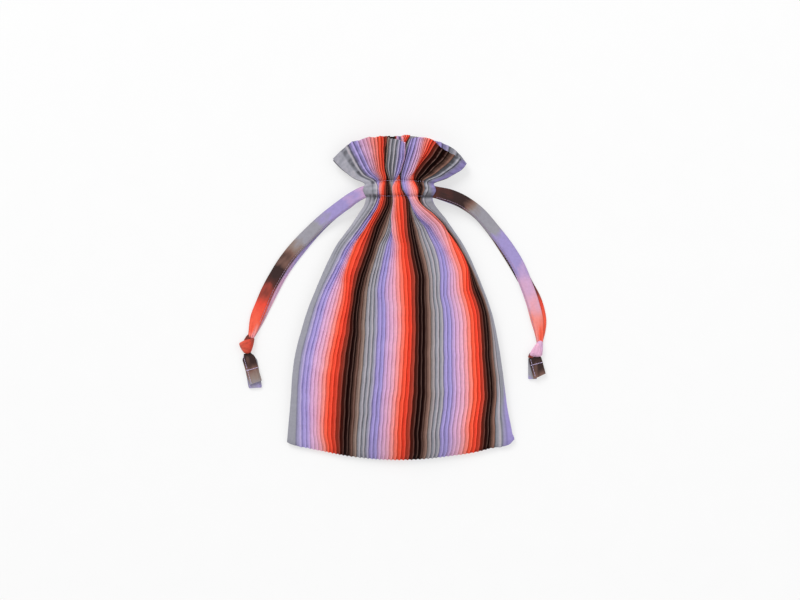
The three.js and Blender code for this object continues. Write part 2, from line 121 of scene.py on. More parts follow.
# The gathers of the front, from its left side to its right. cloth: place across the flat panel; then
# where it lies across the bag, as a share of the width, at two places on the shoulder, at two on the
# throat, in the casing, at its upper stitches, low and high on the ruffle and at the ruffle's edge.
# Where the shares turn back, the cloth is tucked under itself.
FOLD_STATIONS = (0, 45, 63, 76, 89, 101.5, 110, 117, 138, 150)
FOLD_PLACES = (
    (0, 0, 0, 0, 0, 0, 0, 0, 0, 0),
    (0.024, 0.044, 0.056, 0.08, 0.11, 0.13, 0.09, 0.065, 0.066, 0.064),
    (0.042, 0.078, 0.094, 0.122, 0.16, 0.198, 0.15, 0.12, 0.115, 0.11),
    (0.06, 0.098, 0.12, 0.154, 0.19, 0.211, 0.18, 0.165, 0.152, 0.146),
    (0.085, 0.108, 0.138, 0.178, 0.205, 0.206, 0.205, 0.205, 0.2, 0.198),
    (0.125, 0.122, 0.158, 0.193, 0.224, 0.216, 0.228, 0.242, 0.254, 0.26),
    (0.165, 0.126, 0.145, 0.18, 0.21, 0.252, 0.255, 0.272, 0.303, 0.32),
    (0.19, 0.168, 0.172, 0.203, 0.232, 0.268, 0.28, 0.302, 0.335, 0.353),
    (0.215, 0.205, 0.2, 0.232, 0.266, 0.289, 0.3, 0.322, 0.358, 0.379),
    (0.25, 0.255, 0.25, 0.285, 0.333, 0.335, 0.325, 0.334, 0.375, 0.425),
    (0.285, 0.293, 0.315, 0.345, 0.385, 0.375, 0.345, 0.342, 0.382, 0.41),
    (0.31, 0.318, 0.36, 0.375, 0.412, 0.39, 0.365, 0.36, 0.4, 0.424),
    (0.35, 0.36, 0.392, 0.404, 0.436, 0.405, 0.41, 0.425, 0.462, 0.485),
    (0.39, 0.405, 0.418, 0.42, 0.436, 0.405, 0.445, 0.486, 0.52, 0.527),
    (0.43, 0.445, 0.414, 0.404, 0.42, 0.403, 0.456, 0.503, 0.534, 0.536),
    (0.449, 0.458, 0.408, 0.393, 0.411, 0.4, 0.46, 0.501, 0.526, 0.527),
    (0.465, 0.472, 0.43, 0.413, 0.42, 0.403, 0.465, 0.498, 0.515, 0.512),
    (0.48, 0.488, 0.456, 0.437, 0.433, 0.413, 0.47, 0.494, 0.513, 0.524),
    (0.5, 0.51, 0.48, 0.462, 0.455, 0.432, 0.478, 0.49, 0.512, 0.54),
    (0.54, 0.56, 0.545, 0.553, 0.562, 0.505, 0.505, 0.491, 0.516, 0.576),
    (0.575, 0.6, 0.594, 0.606, 0.632, 0.525, 0.515, 0.499, 0.522, 0.572),
    (0.625, 0.655, 0.65, 0.645, 0.655, 0.531, 0.519, 0.507, 0.53, 0.565),
    (0.67, 0.72, 0.717, 0.682, 0.667, 0.536, 0.523, 0.514, 0.538, 0.57),
    (0.7, 0.77, 0.76, 0.694, 0.655, 0.55, 0.535, 0.53, 0.562, 0.59),
    (0.745, 0.82, 0.81, 0.728, 0.668, 0.612, 0.6, 0.602, 0.63, 0.648),
    (0.78, 0.85, 0.862, 0.796, 0.705, 0.645, 0.634, 0.638, 0.658, 0.67),
    (0.82, 0.905, 0.94, 0.897, 0.79, 0.698, 0.664, 0.652, 0.682, 0.7),
    (0.845, 0.935, 0.934, 0.888, 0.795, 0.73, 0.684, 0.656, 0.704, 0.732),
    (0.875, 0.945, 0.93, 0.876, 0.785, 0.75, 0.706, 0.668, 0.732, 0.768),
    (0.91, 0.955, 0.937, 0.882, 0.79, 0.788, 0.762, 0.745, 0.788, 0.812),
    (0.945, 0.963, 0.95, 0.899, 0.812, 0.83, 0.828, 0.835, 0.867, 0.885),
    (0.97, 0.975, 0.966, 0.928, 0.862, 0.882, 0.893, 0.91, 0.932, 0.945),
    (1, 1, 1, 1, 1, 1, 1, 1, 1, 1),
)
# How far the same places stand up at those stations, and at the last how far the ruffle's edge
# reaches beyond its even curve
FOLD_LIFTS = (
    (0, 0, 0, 0, 0, 0, 0, 0, 0, 0, -1.7),
    (0.03, 0.4, 0.6, 0.7, 0.8, 1.6, 1, 1, 1, 1, 2.1),
    (0.06, 0.6, 1, 0.9, 0.8, 0.4, 1, 2.2, 2.4, 2.5, 4),
    (0.085, 0.2, 0.3, 0.2, 0.2, -0.6, 0.4, 2.2, 2.2, 2.2, 2.4),
    (0.125, 0.1, 0.2, 0.2, 0.3, 0, 0.8, 2.6, 2.6, 2.6, 2.5),
    (0.165, 1, 2, 2.4, 2.8, 1.6, 2, 3.4, 3.6, 3.6, 0.4),
    (0.19, 1.6, 3, 3.2, 3.4, 2, 2.4, 3.6, 4.2, 4.4, 0.6),
    (0.215, 1.4, 2.6, 2.8, 3, 1.2, 1.4, 2.4, 3, 3, -0.2),
    (0.25, 0.9, 1.6, 1.7, 1.8, 0.2, 0.2, 0.6, -0.6, -1.5, -0.4),
    (0.285, 0.4, 0.8, 0.7, 0.6, 0, 0.2, 0.6, 0, -0.5, -0.5),
    (0.31, 0.2, 0.3, 0.2, 0.1, -0.4, 0.8, 2.2, 2.8, 3, -2.8),
    (0.35, 0.2, 0.2, 0.1, 0, -0.6, 1.6, 4.2, 5, 5.5, -4.4),
    (0.39, 0.2, 0.2, 0.1, 0.1, -0.4, 1.4, 3.4, 4.4, 4.6, -6.8),
    (0.43, 0.4, 0.8, 0.9, 1, 0.4, 1, 2.8, 3.4, 3, -8),
    (0.465, 0.8, 2.2, 2.7, 3.2, 2, 1.6, 0.2, -0.8, -1, -1),
    (0.5, 1.5, 3.8, 4.3, 4.8, 3.6, 2.4, -0.6, -1.4, -1.2, 0.5),
    (0.54, 1.7, 4, 4.3, 4.6, 3.4, 2, -0.8, -1.6, -0.8, 0.5),
    (0.575, 1.2, 2.8, 2.7, 2.6, 0.6, 0.2, -0.8, -1.8, -1.5, -2),
    (0.625, 0.4, 0.8, 0.7, 0.6, -0.4, -0.4, -0.6, -1.6, -1.6, -3),
    (0.67, 0.2, 0.2, 0.2, 0.1, -0.2, -0.2, 0.2, -0.4, -0.6, -4),
    (0.7, 0.4, 0.5, 0.5, 0.6, 1.2, 1.2, 1.8, 2.4, 2.6, -2.5),
    (0.745, 0.8, 1.6, 1.8, 2.4, 1.6, 2.2, 3.8, 4.2, 4.4, -0.5),
    (0.78, 1.3, 2.6, 3, 3.4, 2.4, 2.2, 3, 3.6, 3.8, 0),
    (0.82, 1.8, 3.4, 3.8, 4.2, 2.8, 2, 1.8, 2.6, 3, 0.5),
    (0.845, 1.6, 2.6, 2.4, 2.6, 2.4, 1.6, 1.4, 2.4, 2.8, 0.6),
    (0.875, 0.8, 1, 0.8, 0.8, 0.8, 1, 1.8, 3, 3.4, -0.8),
    (0.91, 0.3, 0.4, 0.2, 0.2, 0.2, 1.4, 3.2, 3.6, 3.8, -4.2),
    (0.945, 0.3, 0.4, 0.3, 0.3, 1, 1.6, 2.8, 3.2, 3.2, -5.4),
    (0.97, 0.3, 0.5, 0.5, 0.6, 1.8, 1.6, 2, 2, 2, -4.8),
    (1, 0, 0, 0, 0, 0, 0, 0, 0, 0, -5.9),
)
ARCH_POWER = 2.2  # the front panel's arch across the bag
SEAM_HALF_GAP = 0.15
CURL_START = 0.72  # share of the half width where the back panel starts to curl up
SIDE_FLAT = 0.024  # share of the panel at each side that the seam keeps free of pleats
CASING_FROM = 90  # where the casing starts and ends
CASING_TO = 113
CASING_LOW = 94.2  # its two rows of stitches
CASING_HIGH = 108.8
STITCH_PINCH = 1.5  # how far from a row of stitches the cloth is pinched
CASING_FRONT = 4.2  # thickness of the gathered cloth in the casing, in front and at the back
CASING_BACK = 3.4
HEM = -150
RUFFLE_EDGE = 150
# The rows of a panel's mesh: where a stretch of them starts and ends, and how many there are with both ends
PANEL_STRETCHES = (
    (HEM, -136, 9),
    (-136, 24, 40),
    (24, CASING_FROM, 30),
    (CASING_FROM, CASING_TO, 22),
    (CASING_TO, RUFFLE_EDGE, 20),
)
RUFFLE_FROM = 120  # above this the ruffle's edge takes its own shape
STRIPE_REPEATS = 3.03  # of the print across a panel
PRINT_SHOWN = 0.4  # how much of its own share of the print each pleat shows
# One pleat: place across it, its height there, and its painted shading from the crease (0, painted
# shade) to the crest (1, painted highlight)
PLEAT = ((0, 0, 0), (0.17, 0.06, 0.44), (0.42, 0.14, 0.5), (0.6, 0.6, 0.82), (0.75, 1, 1), (0.9, 0.6, 0.4))
BACK_PRINT_START = -0.06
# The back's gathers: place across the flat panel, and its share of the width from the throat up
BACK_GATHERS = (
    (0, 0),
    (0.24, 0.3),
    (0.37, 0.42),
    (0.402, 0.468),
    (0.57, 0.479),
    (0.59, 0.54),
    (0.65, 0.6),
    (0.927, 0.79),
    (0.98, 0.95),
    (1, 1),
)
# How far the back's edge of the ruffle reaches beyond its even curve, by the share of the width
BACK_LIP = (
    (0, -3),
    (0.1, -1),
    (0.3, -1),
    (0.42, 0),
    (0.52, 0.2),
    (0.58, 0.9),
    (0.7, 0.5),
    (0.8, 1.9),
    (0.9, 1.8),
    (0.96, -1.5),
    (1, -5.9),
)
# How much further the print has run at the left and at the right side, from the hem to the ruffle
SIDE_PRINT = (
    (-150, 0, 0.09),
    (-115, 0, 0.06),
    (-85, 0, 0),
    (40, -0.02, -0.01),
    (90, -0.05, 0.06),
    (105, -0.06, 0.11),
    (150, -0.05, 0.13),
)

# Routes of the cords from inside the casing to the knot: the middle of the cord and its width. Outside the
# casing they are the part's own points, and inside it they run a little lower than its straight tunnel.
CORD_ROUTES = {
    "left_cord_upper": (
        (-16, 99.8, 12.4, 10.5),
        (-28, 99.2, 13.4, 10.5),
        (-33.5, 97.8, 14, 10.8),
        (-41.5, 93.6, 13, 11.4),
        (-48.5, 88.9, 10.8, 12),
        (-58, 82, 7.8, 12),
        (-69, 73.6, 4.8, 12),
        (-83, 60.9, 2.6, 12),
        (-97, 46.4, 2, 12),
        (-107.1, 33.5, 2, 12),
        (-115.8, 19.5, 2, 12),
        (-122, 8, 2, 12),
        (-127.2, -4, 2, 12),
        (-133, -18.5, 2.2, 11.4),
        (-137, -33.2, 2.8, 7),
    ),
    "left_cord_lower": (
        (-16, 100, 3.6, 10.5),
        (-29, 99.4, 3.6, 10.5),
        (-34.5, 97.6, 3.6, 10.8),
        (-42.8, 93.2, 3, 11.4),
        (-48.8, 89, 1.4, 12),
        (-58.2, 82.4, 0.6, 12),
        (-68.5, 73.6, 0.6, 12),
        (-81.6, 60.1, 0.6, 12),
        (-94.5, 44.6, 0.6, 12),
        (-104.3, 31.7, 0.6, 12),
        (-112.8, 18, 0.6, 12),
        (-118.8, 6.4, 0.6, 12),
        (-124.4, -5.2, 0.6, 11.5),
        (-130.6, -19.4, 0.6, 10),
        (-137, -33.2, 0.8, 7),
    ),
    "right_cord_upper": (
        (16, 99.6, 12.4, 10.8),
        (28, 98.8, 13.4, 10.8),
        (33, 97.6, 14, 11),
        (40, 96.1, 13.4, 11.6),
        (46.4, 94.4, 12.6, 12),
        (58, 89.4, 9.8, 12),
        (72.5, 79.1, 6, 12),
        (86.8, 63, 3, 12),
        (99.4, 46.8, 2, 12),
        (109.1, 31, 2, 12),
        (116.5, 13.4, 2, 12),
        (122.4, -3.2, 2, 12),
        (126.8, -20.2, 2, 11.5),
        (128.5, -30, 2.2, 9),
        (129.3, -39.8, 2.6, 6),
    ),
    "right_cord_lower": (
        (16, 99.8, 3.6, 10.8),
        (28, 99.2, 3.6, 10.8),
        (33, 98.2, 3.6, 11),
        (40, 96.2, 2.9, 11.6),
        (46.4, 94.2, 2.2, 12),
        (58.2, 89.2, 0.9, 12),
        (72.7, 79, 0.6, 12),
        (86.6, 62.8, 0.6, 12),
        (98.2, 45.6, 0.6, 12),
        (107.8, 30.1, 0.6, 12),
        (117, 13.6, 0.6, 12),
        (125.4, -2.6, 0.6, 12),
        (130, -19.6, 0.6, 11),
        (130.2, -29.8, 0.6, 9),
        (129.3, -39.6, 0.8, 6),
    ),
}
# For each cord: length; the side of the ribbon that carries the topstitch, seen from the casing (-1 left,
# 1 right); distances from the casing, and where the print stands at each
CORD_FACTS = {
    "left_cord_upper": (
        0.198,
        -1,
        (0, 22, 54, 70, 80, 92, 103, 112, 124, 133, 143, 153, 175),
        (0.26, 0.18, 0.06, -0.02, -0.07, -0.12, -0.16, -0.21, -0.305, -0.345, -0.385, -0.465, -0.51),
    ),
    "left_cord_lower": (0.196, -1, (0, 180), (-0.05, 0.472)),
    "right_cord_upper": (
        0.204,
        1,
        (0, 25, 41, 53, 66, 82, 106, 146, 167, 180),
        (0.715, 0.8, 0.95, 1.02, 1.06, 1.15, 1.2, 1.37, 1.5, 1.51),
    ),
    "right_cord_lower": (
        0.203,
        1,
        (0, 40, 85, 112, 124, 145, 153, 180),
        (1.2, 0.98, 0.86, 0.79, 0.72, 0.62, 0.55, 0.5),
    ),
}
EXIT_POINT = 2  # the point of each route where the cord leaves the casing
ROUTE_STEPS = 9  # from each point of a route to the next
THREAD_RINGS = 6  # rings along a stitch
THREAD_SIDES = 6  # points round each ring, as many as its two caps take
TOPSTITCH_IN = 0.78  # place of the topstitch across half the ribbon
CORD_IN_KNOT = 5  # how far a strand runs on inside its knot
TOPSTITCH_STOP = 14  # how far before a strand's end its topstitch stops
RIBBON_POINTS = 17  # across a ribbon
WRAP_POINTS = 19  # across a wrap
# Each knot is a few wraps of ribbon: four corners seen from above (lower left, lower right, upper right,
# upper left, or turned by one), lowest and highest point, where the print stands from the first side to the
# one across from it, and its painted shade level, lower for darker
KNOT_WRAPS = {
    "left_knot": (
        (((-145.5, -39.5), (-139.5, -43), (-136.4, -36.8), (-140.4, -32.2)), 0.4, 4, 0.67, 0.7, 0.5),
        (((-141.4, -49.8), (-137.2, -49.4), (-133.9, -36.2), (-139.4, -36.4)), 0.4, 6, 0.61, 0.67, 0.45),
        (((-150.2, -40.9), (-144.4, -51.2), (-137.4, -50.6), (-135.6, -35.8)), 0.2, 7, 0.49, 0.58, 0.12),
    ),
    "right_knot": (
        (((118, -55), (124, -55.6), (123, -49), (119.6, -50.6)), 0.3, 4, 0.66, 0.7, 0.4),
        (((125.6, -53.6), (132, -53.4), (132.4, -38.6), (126.2, -39.4)), 0.3, 6, 0.31, 0.28, 0.6),
        (((118.2, -53.4), (131.8, -54.6), (129.4, -40.6), (126, -41)), 0.2, 7, 0.31, 0.34, 0.74),
    ),
}
# The ends below the knots: start and end of the middle line, height, width at the knot and below it, where
# the print stands at the start and at the end, where the sewn end starts, how much its corners are rounded
# and how much the end is cut on the slant
TAILS = {
    "left_tail_lower": ((-139.2, -52.6), (-133.8, -82.8), 0, 7.5, 12.4, 0.02, 0.105, 0.5, 0.12, -0.6),
    "left_tail_upper": ((-141.4, -50.4), (-133.4, -77.8), 2.1, 6.6, 12, 0.8, 0.945, 0.5, 0, 0.4),
    "right_tail_lower": ((122.6, -55.4), (122.7, -74.6), 0, 8, 8, 0.0, 0.09, 0.3, 0.1, 0),
    "right_tail_upper": ((124.4, -53.9), (129.2, -72), 2.1, 10.6, 12, 0.79, 0.88, 0.33, 0, 1.1),
}
TAIL_THICK = 0.9
TAIL_HEM = 1.8  # thickness where the end is folded back and sewn
TAIL_SPREAD = 0.2  # share of its length over which a tail widens
TAIL_CLEAR = 0.25  # height above what a tail lies on
TAIL_STITCH_IN = 0.68  # place of the stitches across half the tail's width
TAIL_POINTS = 34  # along a tail

# The printed stripes: share of one repeat, and the colour there
STRIPES = (
    (0.0, "grey"),
    (0.07, "grey"),
    (0.12, "lavender"),
    (0.2, "lavender"),
    (0.265, "lilac"),
    (0.36, "pink"),
    (0.45, "salmon"),
    (0.51, "coral"),
    (0.59, "red"),
    (0.655, "rust"),
    (0.7, "brown"),
    (0.76, "black"),
    (0.83, "black"),
    (0.88, "umber"),
    (0.925, "taupe"),
    (0.97, "grey"),
    (1.0, "grey"),
)

# Picture: its width, and its middle at the height where that width holds
PICTURE_WIDTH = 738.4
PICTURE_MIDDLE = (0, -1.4, 7)
# Lamps: place and size in metres, and power
LAMPS = {
    "upper_left": ((-2, 3.6, 3.6), 2.8, 172),
    "right": ((1.6, 0.2, 1.9), 1.6, 8),
}
ROOM_LIGHT = 0.67
FLOOR_REACH = 6  # metres from the middle to each side
FLOOR_BELOW = 0.0003  # metres under the bag
SHARP_ANGLE = 70  # degrees between two faces from which their edge is sharp


def colour(red, green, blue, name, text):
    """A colour property, from the colour as seen on a screen (0 to 255)."""
    screen = np.array((red, green, blue)) / 255
    light = np.where(screen > 0.04045, ((screen + 0.055) / 1.055) ** 2.4, screen / 12.92)
    return FloatVectorProperty(
        name=name, description=text, subtype="COLOR", size=3, min=0, max=1, default=tuple(light)
    )


def length(millimetres, name, text):
    """A length property in metres."""
    return FloatProperty(name=name, description=text, unit="LENGTH", default=millimetres * MM, min=0)


class BagSizes(bpy.types.PropertyGroup):
    """Sizes of the bag that a user would change."""

    pleats: IntProperty(name="Pleats", description="Pleats on each panel", default=50, min=4)
    pleat_depth: FloatProperty(
        name="Pleat depth",
        description="Share of the full pleat depth",
        subtype="FACTOR",
        default=1,
        min=0,
        max=1.3,
    )
    cloth: length(0.8, "Cloth", "Thickness of the pleated cloth")
    cord: length(1.0, "Cord", "Thickness of a flat cord")
    thread: length(0.35, "Thread", "Thickness of the sewing thread")
    stitch: length(2.4, "Stitch", "Length of a stitch on the cords and tails")
    lens: FloatProperty(
        name="Lens", description="Focal length of the camera", unit="CAMERA", default=100, min=20
    )


class BagColours(bpy.types.PropertyGroup):
    """Colours of the printed stripes, the thread and the floor."""

    grey: colour(154, 154, 164, "Grey", "Widest stripe")
    lavender: colour(161, 149, 207, "Lavender", "Blue stripe beside the grey")
    lilac: colour(208, 168, 208, "Lilac", "Between lavender and pink")
    pink: colour(230, 172, 195, "Pink", "Light stripe")
    salmon: colour(246, 146, 138, "Salmon", "Between pink and coral")
    coral: colour(249, 96, 68, "Coral", "Bright stripe")
    red: colour(237, 66, 43, "Red", "Deepest part of the bright stripe")
    rust: colour(172, 60, 44, "Rust", "Between red and brown")
    brown: colour(80, 28, 19, "Brown", "Start of the dark stripe")
    black: colour(25, 3, 2, "Black", "Dark stripe")
    umber: colour(123, 90, 79, "Umber", "End of the dark stripe")
    taupe: colour(142, 126, 118, "Taupe", "Between the dark stripe and the grey")
    thread: colour(205, 190, 225, "Thread", "Stitches on the casing and the sewn ends")
    topstitch: colour(176, 150, 176, "Topstitch", "Stitches along the cords")
    floor: colour(163, 163, 163, "Floor", "Surface under the bag")


def cubic(here, there, start, end, share):
    """A cubic from one value to another with the slopes given for its start and end."""
    rise = there - here
    return here + share * (start + share * (3 * rise - 2 * start - end + share * (start + end - 2 * rise)))


def curve_through(at, values, place):
    """Smooth curve through a table that never overshoots its rows, for all columns at once.

    Between two rows it is a cubic whose end slopes are the harmonic mean of the neighbouring slopes,
    or nought where those differ in sign. Returns one row for each place.
    """
    at = np.asarray(at, float)
    values = np.asarray(values, float)
    place = np.clip(place, at[0], at[-1])
    apart = np.diff(at)[:, None]
    slope = np.diff(values, axis=0) / apart
    product = slope[:-1] * slope[1:]
    total = np.where(product > 0, slope[:-1] + slope[1:], 1)
    tangent = np.vstack([slope[:1], np.where(product > 0, 2 * product / total, 0), slope[-1:]])
    row = np.clip(np.searchsorted(at, place, side="right") - 1, 0, len(at) - 2)
    share = ((place - at[row]) / apart[row, 0])[:, None]
    start = tangent[row] * apart[row]
    end = tangent[row + 1] * apart[row]
    return cubic(values[row], values[row + 1], start, end, share)


def table_columns(table, place):
    """The columns of a table at the given places, each as an upright array."""
    table = np.array(table)
    return [column[:, None] for column in curve_through(table[:, 0], table[:, 1:], place).T]


def ease(share):
    """From 0 to 1 with a level start and end: 3 s squared less 2 s cubed, with s held between 0 and 1."""
    share = np.clip(share, 0, 1)
    return share * share * (3 - 2 * share)


def step(value, start, end):
    """From 0 where the value is at the start to 1 where it is at the end, eased, and level beyond them."""
    return ease((value - start) / (end - start))


def mix(start, end, share):
    """Straight blend of two values."""
    return start + (end - start) * share


def bell(value, middle, width):
    """1 at the middle and falling to 0 on both sides: e to the power -s squared, where s counts widths."""
    return np.exp(-(((value - middle) / width) ** 2))


def wavering(seed, count, place, waves):
    """Unevenness along each of count lines, about -1 to 1, one column for each line.

    The mean of sines of the given wavelengths, whose phases drift at random from line to line.
    """
    drift = np.random.default_rng(seed).normal(0, 0.75, (len(waves), count)).cumsum(axis=1)
    turn = 2 * np.pi * place[None, :, None] / np.array(waves)[:, None, None]
    return 1.5 * np.sin(turn + drift[:, None, :] + np.arange(len(waves))[:, None, None]).mean(axis=0)


def uneven_pleats(seed, pleats, cloth, place, waves):
    """Unevenness of the pleats at each place of the cloth: a straight blend of that of the nearest two."""
    lines = wavering(seed, pleats + 2, place, waves)
    across = cloth * pleats
    before = across.astype(int)
    return mix(lines[:, before], lines[:, before + 1], across - before)


def unit(vectors):
    """The same vectors at length 1."""
    return vectors / np.maximum(np.linalg.norm(vectors, axis=-1, keepdims=True), 1e-9)


def normals_of(grid):
    """Unit normals of a grid of points: the step across the columns crossed with the step along the rows."""
    return unit(np.cross(np.gradient(grid, axis=1), np.gradient(grid, axis=0)))


def quads(*corners):
    """Four-sided faces, from an array for each of their corners."""
    return np.stack(corners, axis=-1).reshape(-1, 4)


def grid_faces(index):
    """The faces between the points of a grid."""
    return quads(index[:-1, :-1], index[:-1, 1:], index[1:, 1:], index[1:, :-1])


def shell(top, bottom, print_at, crest):
    """A closed skin round two grids of the same shape, the top one facing up when columns run to the right
    of the rows. print_at and the painted shading hold a value for each grid point, which both skins share."""
    rows, columns = top.shape[:2]
    over = np.arange(rows * columns).reshape(rows, columns)
    under = over + rows * columns
    faces = [
        grid_faces(over),
        quads(under[:-1, :-1], under[1:, :-1], under[1:, 1:], under[:-1, 1:]),
        quads(over[:-1, 0], over[1:, 0], under[1:, 0], under[:-1, 0]),
        quads(over[1:, -1], over[:-1, -1], under[:-1, -1], under[1:, -1]),
        quads(over[0, 1:], over[0, :-1], under[0, :-1], under[0, 1:]),
        quads(over[-1, :-1], over[-1, 1:], under[-1, 1:], under[-1, :-1]),
    ]
    return {
        "points": np.concatenate([top.reshape(-1, 3), bottom.reshape(-1, 3)]),
        "faces": np.concatenate(faces),
        "print": np.tile(np.broadcast_to(print_at, (rows, columns)).reshape(-1), 2),
        "crest": np.tile(np.broadcast_to(crest, (rows, columns)).reshape(-1), 2),
    }


def joined(skins):
    """Several closed skins as one."""
    starts = np.cumsum([0] + [len(skin["points"]) for skin in skins[:-1]])
    whole = {key: np.concatenate([skin[key] for skin in skins]) for key in ("points", "print", "crest")}
    whole["faces"] = np.concatenate([skin["faces"] + start for skin, start in zip(skins, starts)])
    return whole


def add_piece(name, skin, material, nodes=()):
    """Puts a skin into a mesh object at the origin that rides on the bag and replaces its solids."""
    mesh = bpy.data.meshes.new(name)
    faces = skin["faces"].astype(np.int32)
    mesh.vertices.add(len(skin["points"]))
    mesh.vertices.foreach_set("co", (skin["points"] * MM).astype(np.float32).ravel())
    mesh.loops.add(faces.size)
    mesh.loops.foreach_set("vertex_index", faces.ravel())
    mesh.polygons.add(len(faces))
    mesh.polygons.foreach_set("loop_start", np.arange(len(faces), dtype=np.int32) * 4)
    mesh.polygons.foreach_set("use_smooth", np.ones(len(faces), dtype=bool))
    mesh.update(calc_edges=True)
    uv = np.stack((skin["print"], skin["points"][:, 1] * 0.01), axis=1)
    mesh.uv_layers.new(name="print").data.foreach_set("uv", uv[faces.ravel()].astype(np.float32).ravel())
    # The painted shading: painted shade and highlight that the printed materials multiply into the print
    crest = mesh.attributes.new("crest", "FLOAT", "POINT")
    crest.data.foreach_set("value", skin["crest"].astype(np.float32))
    mesh.set_sharp_from_angle(angle=np.radians(SHARP_ANGLE))
    mesh.materials.append(material)
    piece = bpy.data.objects.new(name, mesh)
    bpy.context.collection.objects.link(piece)
    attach(piece, "root")
    if nodes:
        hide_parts(*nodes)
    return piece


def panel_columns(pleats):
    """Places across a panel: plain cloth at both sides and between them the points of every pleat.

    Returns the share of the cloth, the height and the painted shading in the pleat (painted shade in the
    crease, painted highlight on the crest), and the printed place.
    Each pleat shows the middle part of its own share of the print, so the colour steps from pleat to pleat.
    """
    across, height, painted_shade_level = np.array(PLEAT).T
    pitch = (1 - 2 * SIDE_FLAT) / pleats
    number = np.repeat(np.arange(pleats), len(across))
    across = np.tile(across, pleats)
    cloth = SIDE_FLAT + (number + across) * pitch
    printed = SIDE_FLAT + (number + 0.5 + PRINT_SHOWN * (across - 0.5)) * pitch
    side = np.linspace(0, SIDE_FLAT, 8)[:-1]
    plain = np.full(len(side), 0.5)
    end = [1 - SIDE_FLAT]
    return (
        np.concatenate([side, cloth, end, 1 - side[::-1]]),
        np.concatenate([plain, np.tile(height, pleats), [0], plain]),
        np.concatenate([plain, np.tile(painted_shade_level, pleats), [0], plain]),
        np.concatenate([side, printed, end, 1 - side[::-1]]),
    )


def panel_rows():
    """Places along a panel from the hem to the ruffle's edge, closer where it is gathered."""
    parts = [np.linspace(start, end, count)[1:] for start, end, count in PANEL_STRETCHES]
    return np.concatenate([[HEM], *parts])


def sections(rows):
    """The columns of the three tables of sections at the given places, by name."""
    names = "rise left right seam base front wall depth edge under".split()
    columns = [column for table in (OUTLINE, HEIGHTS, CLOTH) for column in table_columns(table, rows)]
    return SimpleNamespace(**dict(zip(names, columns)))


def pinch(y):
    """1 at the casing's two rows of stitches and 0 away from them."""
    return bell(y, CASING_LOW, STITCH_PINCH) + bell(y, CASING_HIGH, STITCH_PINCH)


def in_casing(y):
    """1 in the casing and 0 outside it, changing over 4 mm at each end."""
    return step(y, CASING_FROM, CASING_FROM + 4) * step(y, CASING_TO, CASING_TO - 4)


def ruffle_edge(y, reach, height):
    """How far the ruffle lies beyond its even curve: by the reach at its edge, with teeth of the pleats."""
    teeth = 0.4 * (height - 0.4) * step(y, 142, 150)
    return reach * step(y, RUFFLE_FROM, RUFFLE_EDGE) + teeth


def hem_shape(y, off, height):
    """How far the hem lies above an even curve: it sags towards both corners, which are rounded, the right
    one more, and each pleat's crest reaches a little lower. It fades out 12 mm above the hem."""
    left = 0.6 * step(-off, 0.97, 1) - 1.1 * step(-off, 0.8, 0.92)
    right = 3.8 * step(off, 0.95, 1) ** 2 - 1.8 * step(off, 0.8, 0.92)
    middle = 1.1 * step(np.abs(off + 0.1), 0.8, 0.5)
    return (np.where(off < 0, left, right) + middle - 0.5 * height) * step(y, -138, -150)


def corner_ear(y, off):
    """How far the right corner of the hem bulges out, over its last 7 mm."""
    return 1.3 * step(y, -143, -149) * step(off, 0.95, 1)


def sewn_down(inside, grid, off, level):
    """A panel's inside, brought to the seam's height over the outermost 7 hundredths of the half width."""
    at_seam = np.dstack([grid[:, :, 0], grid[:, :, 1], np.broadcast_to(level, off.shape)])
    return mix(inside, at_seam, step(np.abs(off), 0.93, 1)[:, :, None])


def front_print(rows, printed):
    """Where the print stands on the front. It runs ahead or lags at both sides, and from the shoulder up the
    red is drawn out towards the coral."""
    y = rows[:, None]
    left, right = table_columns(SIDE_PRINT, rows)
    left = left * step(printed, -0.01, 0.02) * step(printed, 0.09, 0.04)
    right = right * step(printed, 0.95, 0.968)
    right = right + 0.042 * step(printed, 0.955, 0.975) * step(y, 90, 40)
    print_at = printed * STRIPE_REPEATS + left + right
    return print_at - 0.045 * bell(print_at % 1, 0.54, 0.07) * step(y, 70, 100)


